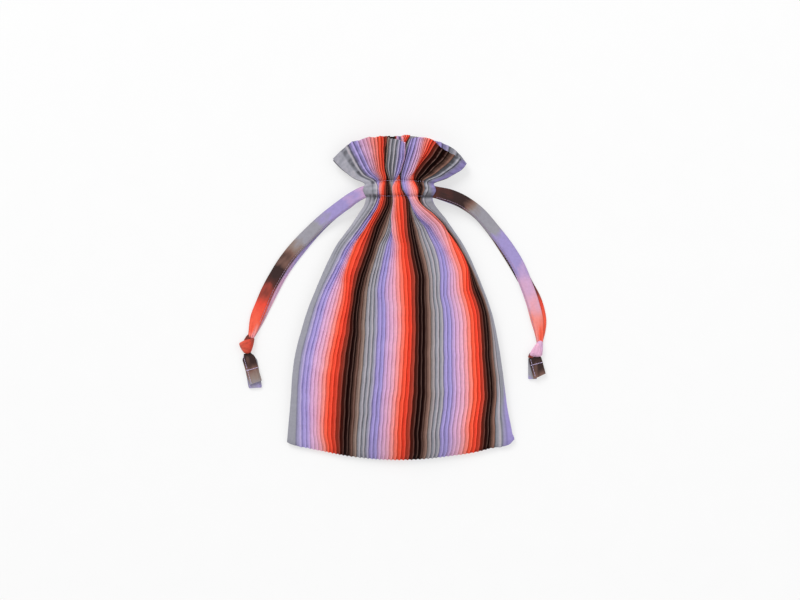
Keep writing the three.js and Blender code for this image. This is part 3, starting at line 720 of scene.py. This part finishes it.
def front_painted_shade_level(rows, cloth, share, painted_shade_level, uneven, print_at):
    """The front's painted shading, from 0 in a crease (painted shade) to 1 on a crest (painted highlight).

    Painted shade darkens pleats that the gathers close, the slit in the ruffle's middle, the side that turns
    away on the right, the creases beside the seams, the gathers under the casing, its stitches and the hem.
    The lower left gets a painted light, and the casing's side blocks painted shade and light of crumples.
    The painted shading of the pleats is deeper in the ruffle, stronger in the grey and dark stripes and
    weaker in the pink.
    """
    y = rows[:, None]
    side = step(np.abs(2 * share - 1), 0.45, 0.65)
    pleated = step(np.minimum(cloth, 1 - cloth), SIDE_FLAT, SIDE_FLAT + 0.004)
    closed_shade = 0.8 * step(y, 105, 111) * mix(1, 0.45, step(y, 120, 146))
    closed_shade = closed_shade + (0.25 + 0.4 * side) * step(y, 40, 70) * step(y, 97, 92)
    closed_shade = closed_shade * mix(mix(-0.4, 0.15, share), 1 - painted_shade_level, pleated)
    slit_shadow = step(cloth, 0.5, 0.53) * step(cloth, 0.695, 0.665) * step(y, 106, 114)
    slit_shadow = slit_shadow * mix(1, -0.35, step(y, 128, 146))
    # Painted shade on the right side that turns away
    turned = step(share, 0.8, 0.92) * step(y, 92, 96)
    # Painted shade in the creases beside the seams
    crease = bell(cloth, 0.0137, 0.002) * step(y, 10, 50) * step(y, 97, 93)
    crease = crease + 0.4 * bell(cloth, 0.9863, 0.002) * step(y, -70, -110)
    painted_light_left = bell(cloth, 0.07, 0.04) * step(y, 40, 0)
    gather_shadow = bell(y, CASING_LOW - 1, STITCH_PINCH) * side
    crumple_shading = wavering(17, len(cloth), rows, (13, 7.5, 4.6)) * side * step(y, 80, 92)
    # Painted shade along the hem
    hem = step(y, -145.5, -150)
    crest = 0.5 + (painted_shade_level - 0.5) * (0.6 + 0.4 * uneven) * mix(1, 1.2, step(y, 108, 117))
    crest = crest - closed_shade - 0.8 * gather_shadow - 0.2 * pinch(y) + 0.2 * crumple_shading - 0.2 * hem
    crest = crest - 0.9 * slit_shadow - 0.3 * turned - 0.8 * crease + 0.15 * painted_light_left
    # The painted shading is stronger in the grey and dark stripes and weaker in the pink
    in_grey = bell((print_at + 0.5) % 1, 0.52, 0.08) * pleated
    in_pink = bell(print_at % 1, 0.36, 0.1)
    in_dark = bell(print_at % 1, 0.8, 0.09)
    shade_contrast = 1.02 + 0.9 * in_grey - 0.35 * in_pink + 0.3 * in_dark
    return np.clip(0.5 + (crest - 0.5) * shade_contrast, -0.5, 1.25)


def front_skins(sizes):
    """The front panel's outside and inside, with print and painted shading.

    Across a section a place of the cloth lies at its share of the width, which the gathers change from the
    shoulder up. The height blends from the seam to the middle by 1 less the distance from the middle to the
    power 2.2, plus the gathers' lift. The casing is drawn in at its ends and stitches, the whole sways a
    little from row to row, the hem leans to the left, and its right corner is dented. The pleats stand along
    the normal of that surface. The inside is the same surface set in by the cloth's thickness, with its sides
    brought down to the seam.
    """
    cloth, height, painted_shade_level, printed = panel_columns(sizes.pleats)
    rows = panel_rows()
    y = rows[:, None]
    at = sections(rows)
    places = np.array(FOLD_PLACES)
    lifts = np.array(FOLD_LIFTS)
    stations = curve_through(places[:, 0], places[:, 1:], cloth)
    heights = curve_through(lifts[:, 0], lifts[:, 1:], cloth)
    share = curve_through(FOLD_STATIONS, np.vstack([cloth, stations.T]), rows)
    lift = curve_through(FOLD_STATIONS, np.vstack([0 * cloth, heights[:, :-1].T]), rows)
    drift = np.array(BODY_DRIFT)
    drift = curve_through(drift[:, 0], 0.001 * drift[:, 1:], rows)
    share = share + curve_through(DRIFT_SHARES, drift.T, cloth).T
    off = 2 * share - 1
    inner = 1 - off**8
    wobble = uneven_pleats(3, sizes.pleats, cloth, rows, (47, 26, 15)) * inner
    lean = 0.9 * step(y, -143, -150) * inner
    x = mix(-at.left, at.right, share) + 0.0028 * at.left * wobble + corner_ear(y, off) - lean
    slope = 1.4 * np.gradient(x, cloth, axis=1) / (at.left + at.right)
    spread = np.clip(np.abs(slope), 0.1, 1)
    arch = 1 - np.abs(off) ** ARCH_POWER
    casing = in_casing(y)
    drawn_in = 1.4 * casing * np.clip((np.abs(off) - 0.86) / 0.14, 0, 1) ** 2 + 1.6 * pinch(y) * inner
    sway = 0.5 * wavering(5, len(cloth), rows, (120, 75))[:, :1] * inner
    dent = 0.9 * bell(cloth, 0.968, 0.006) * step(y, -122, -130)
    z = mix(at.seam + SEAM_HALF_GAP + at.edge, at.front + SEAM_HALF_GAP + at.wall, arch)
    z = z + lift - drawn_in + sway - dent
    lip = ruffle_edge(y, heights[:, -1], height) + hem_shape(y, off, height)
    grid = np.stack([x, y + at.rise * off**2 + lip, z], axis=2)
    normal = normals_of(grid)
    uneven = 1 + 0.28 * uneven_pleats(7, sizes.pleats, cloth, rows, (33, 19, 11))
    relief = height * uneven * at.depth * sizes.pleat_depth * spread
    thick = mix(sizes.cloth / MM, CASING_FRONT, casing * ease(slope))
    outside = grid + normal * relief[:, :, None]
    inside = sewn_down(grid - normal * thick[:, :, None], grid, off, at.seam + SEAM_HALF_GAP)
    print_at = front_print(rows, printed)
    return outside, inside, print_at, front_painted_shade_level(rows, cloth, share, painted_shade_level, uneven, print_at)


def back_skins(sizes):
    """The back panel's inside and outside, with print and painted shading.

    It lies on the surface and curls up to the seam by the square of how far a place is beyond 0.72 of the
    half width. From the throat up it is gathered as its table says. Its pleats stand along the normal of the
    outside, down to the surface.
    """
    cloth, height, painted_shade_level, printed = panel_columns(sizes.pleats)
    rows = panel_rows()
    y = rows[:, None]
    at = sections(rows)
    gathered = step(y, 40, 90)
    share = mix(cloth, np.interp(cloth, *np.array(BACK_GATHERS).T), step(y, 50, 110))
    off = 2 * share - 1
    inner = 1 - off**8
    wobble = uneven_pleats(11, sizes.pleats, cloth, rows, (43, 27, 16)) * inner
    folds = (0.5 - 0.5 * np.cos(14 * np.pi * share)) * gathered * inner
    curl = np.clip((np.abs(off) - CURL_START) / (1 - CURL_START), 0, 1) ** 2
    casing = in_casing(y)
    at_seam = at.seam - SEAM_HALF_GAP - mix(0.4, 0.75, casing) * at.under
    z = mix(at.base + at.depth + 1.4 * folds, at_seam, curl)
    lip = ruffle_edge(y, np.interp(share, *np.array(BACK_LIP).T), height) + hem_shape(y, off, 0)
    stretch = np.clip(np.gradient(share, cloth, axis=1), 0, 1)
    x = mix(-at.left, at.right, share) + 0.005 * at.left * wobble * stretch + corner_ear(y, off)
    spread = np.clip(1.4 * stretch, 0.1, 1)
    grid = np.stack(np.broadcast_arrays(x, y + at.rise * off**2 + lip, z), axis=2)
    normal = normals_of(grid)
    uneven = 1 + 0.2 * uneven_pleats(13, sizes.pleats, cloth, rows, (33, 19, 11))
    relief = np.minimum(height * uneven, 1) * at.depth * sizes.pleat_depth * spread
    outside = grid - normal * relief[:, :, None]
    thick = mix(sizes.cloth / MM, CASING_BACK, casing * ease(1.4 * stretch))
    inside = sewn_down(grid + normal * thick[:, :, None], grid, off, at.seam - SEAM_HALF_GAP)
    # Painted shade and highlight of the pleats, with more painted shade in the gathered creases from the
    # throat up
    crest = painted_shade_level - 0.5 * step(y, 60, 110) * (1 - painted_shade_level)
    return inside, outside, (1 - printed) * STRIPE_REPEATS + BACK_PRINT_START, crest


def route_line(route):
    """A smooth line through a route's points, with the width carried along.

    Each stretch is a cubic whose end slopes are those of a Catmull-Rom curve spaced by the square root
    of the distance between points.
    """
    points = np.array(route, float)
    points = np.concatenate([2 * points[:1] - points[1:2], points, 2 * points[-1:] - points[-2:-1]])
    gap = np.sqrt(np.linalg.norm(np.diff(points[:, :3], axis=0), axis=1))[:, None]
    before, here, after, beyond = points[:-3], points[1:-2], points[2:-1], points[3:]
    gap_before, gap_here, gap_after = gap[:-2], gap[1:-1], gap[2:]
    slope = (after - here) / gap_here
    start = (here - before) / gap_before - (after - before) / (gap_before + gap_here) + slope
    end = slope - (beyond - here) / (gap_here + gap_after) + (beyond - after) / gap_after
    share = (np.arange(ROUTE_STEPS) / ROUTE_STEPS)[None, :, None]
    ends = [value[:, None] for value in (here, after, start * gap_here, end * gap_here)]
    line = cubic(*ends, share)
    line = np.concatenate([line.reshape(-1, 4), points[-2:-1]])
    return line[:, :3], line[:, 3]


def run_of(line):
    """Distance along a line at each of its points."""
    return np.concatenate([[0], np.linalg.norm(np.diff(line, axis=0), axis=1).cumsum()])


def level_frame(line):
    """Unit vectors to the right of a line, level, and up from it."""
    ahead = unit(np.gradient(line, axis=0))
    right = unit(np.stack([ahead[:, 1], -ahead[:, 0], 0 * ahead[:, 0]], axis=1))
    return right, np.cross(right, ahead)


def ribbon(line, width, thick, stitched, print_at, seed, slant=0):
    """A flat folded ribbon carried along a line, its section rounded at both edges.

    Across it, half the thickness is the square root of 1 less 0.93 of the sixth power of the place. A groove
    runs where it is topstitched, the edges flutter a little, and where it is drawn narrow it folds
    lengthwise into three waves and its stitched side is paler. The dye's borders waver across it. At the end
    one side may reach further, by the slant.
    """
    across = np.sin(np.linspace(-np.pi / 2, np.pi / 2, RIBBON_POINTS))[None, :]
    right, up = level_frame(line)
    run = run_of(line)
    full = width.max()
    drawn = step(width, full, 0.5 * full)[:, None]
    groove = bell(across, stitched * TOPSTITCH_IN, 0.07)
    half = 0.5 * thick[:, None] * (np.sqrt(1 - 0.93 * across**6) - 0.35 * groove)
    flutter = 0.1 * wavering(seed, 2, run, (61, 37, 23))
    tilt = mix(flutter[:, :1], flutter[:, 1:], 0.5 + 0.5 * across) * np.abs(across)
    middle = tilt + 0.55 * drawn * np.cos(3 * np.pi * across + 0.6)
    sides = line[:, None] + right[:, None] * (0.5 * width[:, None] * across)[:, :, None]
    reach = slant * across * ((run / run[-1]) ** 2)[:, None]
    sides = sides + np.gradient(line, run, axis=0)[:, None] * reach[:, :, None]
    top = sides + up[:, None] * (middle + half)[:, :, None]
    bottom = sides + up[:, None] * (middle - half)[:, :, None]
    # Painted shading: painted shade in the topstitch groove and at the edges, and painted shade and highlight
    # on the lengthwise folds where it is drawn narrow
    crest = 0.5 - 0.35 * groove - 0.25 * across**8 + 0.25 * drawn * np.cos(3 * np.pi * across + 0.6)
    dyed = print_at[:, None] + 0.018 * wavering(seed + 50, across.size, run, (29, 17))
    dyed = dyed - 0.07 * drawn * step(stitched * across, -0.1, 0.25)
    return shell(top, bottom, dyed, crest)


def threads(start, end, up, thick):
    """Stitches between pairs of points: a round section carried along each, thinner at its ends.

    The radius is half the thickness times the root of 1.02 less the fourth power of the place along the
    stitch, and the middle stands up by half the thickness.
    """
    along = np.linspace(-1, 1, THREAD_RINGS)
    angle = np.arange(THREAD_SIDES) * 2 * np.pi / THREAD_SIDES
    ahead = unit(end - start)
    side = unit(np.cross(ahead, up))
    upright = np.cross(side, ahead)
    middle = start[:, None] + (end - start)[:, None] * (0.5 + 0.5 * along)[None, :, None]
    middle = middle + upright[:, None] * (0.5 * thick * (1 - along**2))[None, :, None]
    radius = 0.5 * thick * np.sqrt(1.02 - along**4)
    ring = side[:, None] * np.cos(angle)[None, :, None] + upright[:, None] * np.sin(angle)[None, :, None]
    points = middle[:, :, None] + ring[:, None] * radius[None, :, None, None]
    index = np.arange(points.size // 3).reshape(points.shape[:3])
    turned = np.roll(index, -1, axis=2)
    sides = quads(index[:, :-1], index[:, 1:], turned[:, 1:], turned[:, :-1])
    caps = [index[:, 0][:, [0, 1, 2, 3]], index[:, 0][:, [0, 3, 4, 5]]]
    caps += [index[:, -1][:, [3, 2, 1, 0]], index[:, -1][:, [5, 4, 3, 0]]]
    return {
        "points": points.reshape(-1, 3),
        "faces": np.concatenate([sides] + caps),
        "print": np.zeros(index.size),
        "crest": np.ones(index.size),
    }


def stitch_line(line, up, stitch, gap, thick):
    """Stitches of one length along a line, with gaps between them."""
    run = run_of(line)
    start = np.arange(gap, run[-1] - stitch, stitch + gap)

    def along(values, place):
        return np.stack([np.interp(place, run, column) for column in values.T], axis=1)

    return threads(along(line, start), along(line, start + stitch), along(up, start + 0.5 * stitch), thick)


def wrap(corners, low, high, print_low, print_high, painted_shade_level):
    """One soft wrap of a knot: a four-sided pillow.

    A square is drawn in at its corners, laid into the four corners by a straight blend, and stands above and
    below a level at 0.42 of its height by the root of (1 - s to the fourth)(1 - t to the fourth). Two creases
    cross it, dented and painted darker. Its painted shade level sets how light or dark it is painted.
    """
    side = np.sin(np.linspace(-np.pi / 2, np.pi / 2, WRAP_POINTS))
    s, t = np.meshgrid(side, side)
    round_s = s * np.sqrt(1 - 0.28 * t * t)
    round_t = t * np.sqrt(1 - 0.28 * s * s)
    a, b, c, d = (np.array(corner) for corner in corners)
    across = (0.5 + 0.5 * round_s)[:, :, None]
    upward = (0.5 + 0.5 * round_t)[:, :, None]
    plan = mix(mix(a, b, across), mix(d, c, across), upward)
    swell = np.sqrt(np.maximum((1 - s**4) * (1 - t**4), 0.002))
    crease = bell(s, 0.45 * t + 0.35, 0.12) + bell(s, -0.2 * t - 0.5, 0.1)
    level = mix(low, high, 0.42)
    top = level + (high - level) * swell - 0.5 * crease * swell
    bottom = level - (level - low) * swell
    over = np.concatenate([plan, top[:, :, None]], axis=2)
    under = np.concatenate([plan, bottom[:, :, None]], axis=2)
    return shell(over, under, mix(print_low, print_high, upward[:, :, 0]), painted_shade_level - 0.25 * crease)


def tail_line(name):
    """The middle line of a tail on the surface below it, and the distance along it as a share."""
    start, end, z = TAILS[name][:3]
    share = np.linspace(0, 1, TAIL_POINTS)
    plan = mix(np.array(start), np.array(end), share[:, None])
    return np.column_stack([plan, np.full(len(share), z)]), share


def tail_thickness(share, sewn):
    """Thickness of a tail along it, doubled from where it is sewn."""
    return mix(TAIL_THICK, TAIL_HEM, step(share, sewn, sewn + 0.04))


def tail(name, seed):
    """An end of the cord below its knot: a ribbon that spreads from the knot, doubled where it is sewn, with
    a painted shadow of the knot on its start.
    """
    start_width, full_width, print_start, print_end, sewn, rounded, slant = TAILS[name][3:]
    line, share = tail_line(name)
    width = mix(start_width, full_width, step(share, 0, TAIL_SPREAD))
    width = width * (1 - rounded * np.clip((share - 0.9) / 0.1, 0, 1) ** 3)
    thick = tail_thickness(share, sewn)
    line[:, 2] += thick / 2 + TAIL_CLEAR
    skin = ribbon(line, width, thick, -1, mix(print_start, print_end, share), seed, slant)
    # Painted shadow of the knot, darkest where the tail leaves it
    knot_shadow = 0.45 * np.exp(-share / 0.07)
    skin["crest"] = skin["crest"] - np.tile(np.repeat(knot_shadow, RIBBON_POINTS), 2)
    return skin


def add_node(tree, kind, place, inputs=(), **settings):
    """A new shader node at a place in a tree. Each input is a value, or the output that feeds it."""
    node = tree.nodes.new("ShaderNode" + kind)
    node.location = place
    for key, value in settings.items():
        setattr(node, key, value)
    for key, value in dict(inputs).items():
        if isinstance(value, bpy.types.NodeSocket):
            tree.links.new(value, node.inputs[key])
        else:
            node.inputs[key].default_value = value
    return node


def add_math(tree, operation, place, *values):
    """What a new Math node makes of one to three values."""
    return add_node(tree, "Math", place, enumerate(values), operation=operation).outputs[0]


def new_material(name):
    """A material with an empty tree of nodes."""
    material = bpy.data.materials.new(name)
    material.use_nodes = True
    material.node_tree.nodes.clear()
    return material, material.node_tree


def add_surface(tree, inputs):
    """The shader and the output that end a tree."""
    shader = add_node(tree, "BsdfPrincipled", (600, 0), inputs)
    add_node(tree, "OutputMaterial", (900, 0), {0: shader.outputs[0]})


def printed_cloth(name, colours, weave, roughness, pale, faded, highlit_and_faded_colour):
    """Striped cloth: the print follows the piece's own map, is faded by a share, has painted shade between
    the pleats and a painted highlight on their crests, with a fine weave and slight unevenness in the cloth's
    own place."""
    material, tree = new_material(name)
    uv = add_node(tree, "UVMap", (-1300, 100), uv_map="print")
    split = add_node(tree, "SeparateXYZ", (-1120, 100), {0: uv.outputs[0]})
    repeat = add_math(tree, "FRACT", (-940, 100), split.outputs["X"])
    ramp = add_node(tree, "ValToRGB", (-760, 100), {0: repeat})
    stops = ramp.color_ramp.elements
    for stripe in STRIPES[1:-1]:
        stops.new(stripe[0])
    for stop, (place, colour_name) in zip(stops, STRIPES):
        stop.position = place
        stop.color = (*getattr(colours, colour_name), 1)
    crest = add_node(tree, "Attribute", (-1120, -260), attribute_name="crest").outputs["Fac"]
    own_place = add_node(tree, "TexCoord", (-1300, -520)).outputs["Object"]
    noise = {"Vector": own_place, "Scale": 420, "Detail": 3}
    uneven = add_node(tree, "TexNoise", (-1120, -460), noise).outputs["Fac"]
    # Painted shade and highlight: the print times 0.6 in a crease to 1.29 on a crest, by the painted shading
    tones = {"Value": crest, "To Min": 0.6, "To Max": 1.29}
    shade = add_node(tree, "MapRange", (-760, -200), tones, clamp=False)
    tones = {"Value": uneven, "To Min": 0.86, "To Max": 1.14}
    mottle = add_node(tree, "MapRange", (-760, -460), tones)
    both = add_math(tree, "MULTIPLY", (-560, -300), shade.outputs[0], mottle.outputs[0])
    values = {0: ramp.outputs[0], "Scale": both}
    shaded = add_node(tree, "VectorMath", (-360, 60), values, operation="SCALE")
    # Painted highlight on the crests by the fourth power of the painted shading, with the even fade, mixed
    # towards one colour
    highlight_weight = add_math(tree, "POWER", (-560, -120), crest, 4)
    highlight_and_fade = add_math(tree, "MULTIPLY_ADD", (-360, -120), highlight_weight, pale, faded)
    values = {"Factor": highlight_and_fade, "A": shaded.outputs[0], "B": (*highlit_and_faded_colour, 1)}
    highlit_and_faded = add_node(tree, "Mix", (-140, 60), values, data_type="RGBA")
    values = {"Vector": own_place, "Scale": weave, "Distortion": 1.2}
    across = add_node(tree, "TexWave", (-560, -640), values, bands_direction="X")
    along = add_node(tree, "TexWave", (-560, -900), values, bands_direction="Y")
    woven = add_math(tree, "ADD", (-360, -700), across.outputs["Fac"], along.outputs["Fac"])
    crinkled = add_math(tree, "MULTIPLY_ADD", (-180, -600), uneven, 3, woven)
    values = {"Height": crinkled, "Strength": 0.35, "Distance": 0.00012}
    bump = add_node(tree, "Bump", (300, -400), values)
    look = {
        "Base Color": highlit_and_faded.outputs["Result"],
        "Normal": bump.outputs[0],
        "Roughness": roughness,
        "Sheen Weight": 0.01,
        "Sheen Roughness": 0.4,
        "Specular IOR Level": 0.03,
    }
    add_surface(tree, look)
    return material


def plain_finish(name, base, roughness, scale, depth, glow=0):
    """A plain finish with slight unevenness of tone and a fine bump, in the piece's own place."""
    material, tree = new_material(name)
    own_place = add_node(tree, "TexCoord", (-900, 0)).outputs["Object"]
    uneven = add_node(tree, "TexNoise", (-700, 0), {"Vector": own_place, "Scale": scale}).outputs["Fac"]
    ramp = add_node(tree, "ValToRGB", (-500, 100), {0: uneven})
    ramp.color_ramp.elements[0].color = (*(0.97 * value for value in base), 1)
    ramp.color_ramp.elements[1].color = (*base, 1)
    bump = add_node(tree, "Bump", (-300, -200), {"Height": uneven, "Distance": depth, "Strength": 0.3})
    look = {
        "Base Color": ramp.outputs[0],
        "Normal": bump.outputs[0],
        "Roughness": roughness,
        "Specular IOR Level": 0.2,
        "Emission Color": (1, 1, 1, 1),
        "Emission Strength": glow,
    }
    add_surface(tree, look)
    return material


def finish_for(name):
    """A material of the bag, made when it is first asked for."""
    made = bpy.data.materials.get(name)
    if made:
        return made
    colours = bpy.context.scene.bag_colours
    # Painted highlight on the crests: its share and colour; on the ribbons the same colour is also what the
    # dye fades to
    if name == "printed_pleats":
        look = {"weave": 900, "roughness": 0.62, "pale": 0.11, "faded": 0, "highlit_and_faded_colour": (0.6, 0.36, 0.3)}
        return printed_cloth(name, colours, **look)
    if name == "printed_ribbon":
        look = {"weave": 1100, "roughness": 0.5, "pale": 0.05, "faded": 0.06, "highlit_and_faded_colour": (0.6, 0.42, 0.4)}
        return printed_cloth(name, colours, **look)
    if name == "pale_floor":
        return plain_finish(name, colours.floor, roughness=0.8, scale=40, depth=0.0002, glow=0.57)
    base = colours.topstitch if name == "mauve_thread" else colours.thread
    return plain_finish(name, base, roughness=0.6, scale=3000, depth=0.0001)


class BAG_OT_stage(bpy.types.Operator):
    """Lay a pale floor, set soft studio lights and put the camera straight above the bag"""

    bl_idname = "bag.stage"
    bl_label = "Stage"

    def execute(self, context):
        scene = context.scene
        reach = np.linspace(-FLOOR_REACH, FLOOR_REACH, 7)
        x, y = np.meshgrid(reach, reach)
        points = np.stack([x, y, np.full_like(x, -FLOOR_BELOW)], axis=2).reshape(-1, 3)
        faces = grid_faces(np.arange(x.size).reshape(x.shape))
        mesh = bpy.data.meshes.new("pale_floor")
        mesh.from_pydata(points.tolist(), [], faces.tolist())
        mesh.materials.append(finish_for("pale_floor"))
        floor = bpy.data.objects.new("pale_floor", mesh)
        context.collection.objects.link(floor)

        world = bpy.data.worlds.new("soft_room")
        world.use_nodes = True
        background = world.node_tree.nodes["Background"]
        background.inputs["Color"].default_value = (1, 1, 1, 1)
        background.inputs["Strength"].default_value = ROOM_LIGHT
        scene.world = world
        for name, (place, size, power) in LAMPS.items():
            lamp = bpy.data.lights.new(name, "AREA")
            lamp.size = size
            lamp.energy = power
            holder = bpy.data.objects.new(name, lamp)
            holder.location = place
            holder.rotation_euler = (-holder.location).to_track_quat("-Z", "Y").to_euler()
            context.collection.objects.link(holder)

        camera = bpy.data.cameras.new("above")
        camera.lens = scene.bag_sizes.lens
        camera.sensor_width = 36
        holder = bpy.data.objects.new("above", camera)
        distance = PICTURE_WIDTH / camera.sensor_width * camera.lens
        holder.location = np.array(PICTURE_MIDDLE) * MM + np.array((0, 0, distance * MM))
        camera.clip_end = 100
        context.collection.objects.link(holder)
        scene.camera = holder
        scene.view_settings.view_transform = "Standard"
        return {"FINISHED"}


class BAG_OT_cords(bpy.types.Operator):
    """Lay the four strands of flat cord from the casing to the knots"""

    bl_idname = "bag.cords"
    bl_label = "Cords"

    def execute(self, context):
        sizes = context.scene.bag_sizes
        for seed, (name, route) in enumerate(CORD_ROUTES.items(), 21):
            stated, side, dyed_at, dye = CORD_FACTS[name]
            line, width = route_line(route)
            inside = unit(line[-1] - line[-2]) * np.linspace(0.2, 1, 5)[:, None] * CORD_IN_KNOT
            line = np.concatenate([line, line[-1] + inside])
            width = np.concatenate([width, width[-1] * np.linspace(0.95, 0.6, 5)])
            run = run_of(line)
            thick = np.full(len(line), sizes.cord / MM)
            hidden = run[EXIT_POINT * ROUTE_STEPS]
            print_at = np.interp(run - hidden, dyed_at, dye)
            skin = ribbon(line, width, thick, side, print_at, seed)
            piece = add_piece(name + "_ribbon", skin, finish_for("printed_ribbon"), [name])
            right, up = level_frame(line)
            seam = line + right * (0.5 * side * TOPSTITCH_IN * width)[:, None] + up * (0.4 * sizes.cord / MM)
            seen = (run > hidden) & (run < run[-1] - TOPSTITCH_STOP)
            row = stitch_line(seam[seen], up[seen], sizes.stitch / MM, gap=0.15, thick=sizes.thread / MM)
            sewing = add_piece(name + "_topstitch", row, finish_for("mauve_thread"))
            end = name.replace("cord", "tail")
            on_it = [sewing.name, end + "_ribbon"]
            if name.endswith("upper"):
                on_it += [end + "_stitches", name.replace("cord_upper", "knot") + "_wraps"]
        return {"FINISHED"}


class BAG_OT_knots(bpy.types.Operator):
    """Tie the two strands on each side in a knot of soft wraps"""

    bl_idname = "bag.knots"
    bl_label = "Knots"

    def execute(self, context):
        for name, wraps in KNOT_WRAPS.items():
            skin = joined([wrap(*values) for values in wraps])
            add_piece(name + "_wraps", skin, finish_for("printed_ribbon"), [name])
        return {"FINISHED"}


class BAG_OT_tails(bpy.types.Operator):
    """Lay the sewn ends of the cords below the knots"""

    bl_idname = "bag.tails"
    bl_label = "Tails"

    def execute(self, context):
        sizes = context.scene.bag_sizes
        for seed, name in enumerate(TAILS, 41):
            add_piece(name + "_ribbon", tail(name, seed), finish_for("printed_ribbon"), [name])
            if name.endswith("lower"):
                continue
            line, share = tail_line(name)
            half = 0.5 * TAILS[name][4]
            sewn = TAILS[name][7]
            right, up = level_frame(line)
            top = tail_thickness(share, sewn)[:, None] + 0.2
            edge = line + right * (half * TAIL_STITCH_IN) + up * top
            thread = sizes.thread / MM
            along = stitch_line(edge[2:], up[2:], sizes.stitch / MM, gap=0.05, thick=1.2 * thread)
            middle = int(sewn * len(line)) + 1
            across = np.linspace(-0.96 * half, 0.96 * half, 24)[:, None]
            bar = line[middle] + right[middle] * across + up[middle] * (top[middle] + 0.05)
            over = stitch_line(bar, 0 * bar + up[middle], stitch=1.5, gap=0.1, thick=2 * thread)
            add_piece(name + "_stitches", joined([along, over]), finish_for("lavender_thread"))
        return {"FINISHED"}


class BAG_OT_panels(bpy.types.Operator):
    """Gather the two pleated panels and sew the casing"""

    bl_idname = "bag.panels"
    bl_label = "Panels and casing stitches"

    def execute(self, context):
        sizes = context.scene.bag_sizes
        material = finish_for("printed_pleats")
        skins = front_skins(sizes)
        front = add_piece("front_cloth", shell(*skins), material, ["front_panel"])
        skin = shell(*back_skins(sizes))
        back = add_piece("back_cloth", skin, material, ["back_panel"])
        rows = panel_rows()
        outside = skins[0]
        normal = normals_of(outside)
        stitches = []
        for place in (CASING_LOW, CASING_HIGH):
            row = np.abs(rows - place).argmin()
            first = np.arange(10, outside.shape[1] - 12, len(PLEAT))
            last = first + len(PLEAT) // 2
            start, end = (outside[row, at] + 0.2 * normal[row, at] for at in (first, last))
            stitches.append(threads(start, end, normal[row, first + 1], sizes.thread / MM))
        thread = finish_for("lavender_thread")
        sewing = add_piece("casing_stitches", joined(stitches), thread)
        return {"FINISHED"}


OPERATORS = (BAG_OT_stage, BAG_OT_knots, BAG_OT_tails, BAG_OT_cords, BAG_OT_panels)


class BAG_PT_sidebar(bpy.types.Panel):
    """The bag's sizes, colours and steps in the sidebar"""

    bl_idname = "BAG_PT_sidebar"
    bl_label = "Pleated drawstring bag"
    bl_space_type = "VIEW_3D"
    bl_region_type = "UI"
    bl_category = "Bag"

    def draw(self, context):
        for group in (context.scene.bag_sizes, context.scene.bag_colours):
            for name in group.__annotations__:
                self.layout.prop(group, name)
        for operator in OPERATORS:
            self.layout.operator(operator.bl_idname)


CLASSES = (BagSizes, BagColours, *OPERATORS, BAG_PT_sidebar)


def register():
    for item in CLASSES:
        bpy.utils.register_class(item)
    bpy.types.Scene.bag_sizes = PointerProperty(type=BagSizes)
    bpy.types.Scene.bag_colours = PointerProperty(type=BagColours)


def unregister():
    del bpy.types.Scene.bag_colours
    del bpy.types.Scene.bag_sizes
    for item in reversed(CLASSES):
        bpy.utils.unregister_class(item)


def main():
    register()
    bpy.ops.bag.stage()
    bpy.ops.bag.knots()
    bpy.ops.bag.tails()
    bpy.ops.bag.cords()
    bpy.ops.bag.panels()


if __name__ == "__main__":
    main()
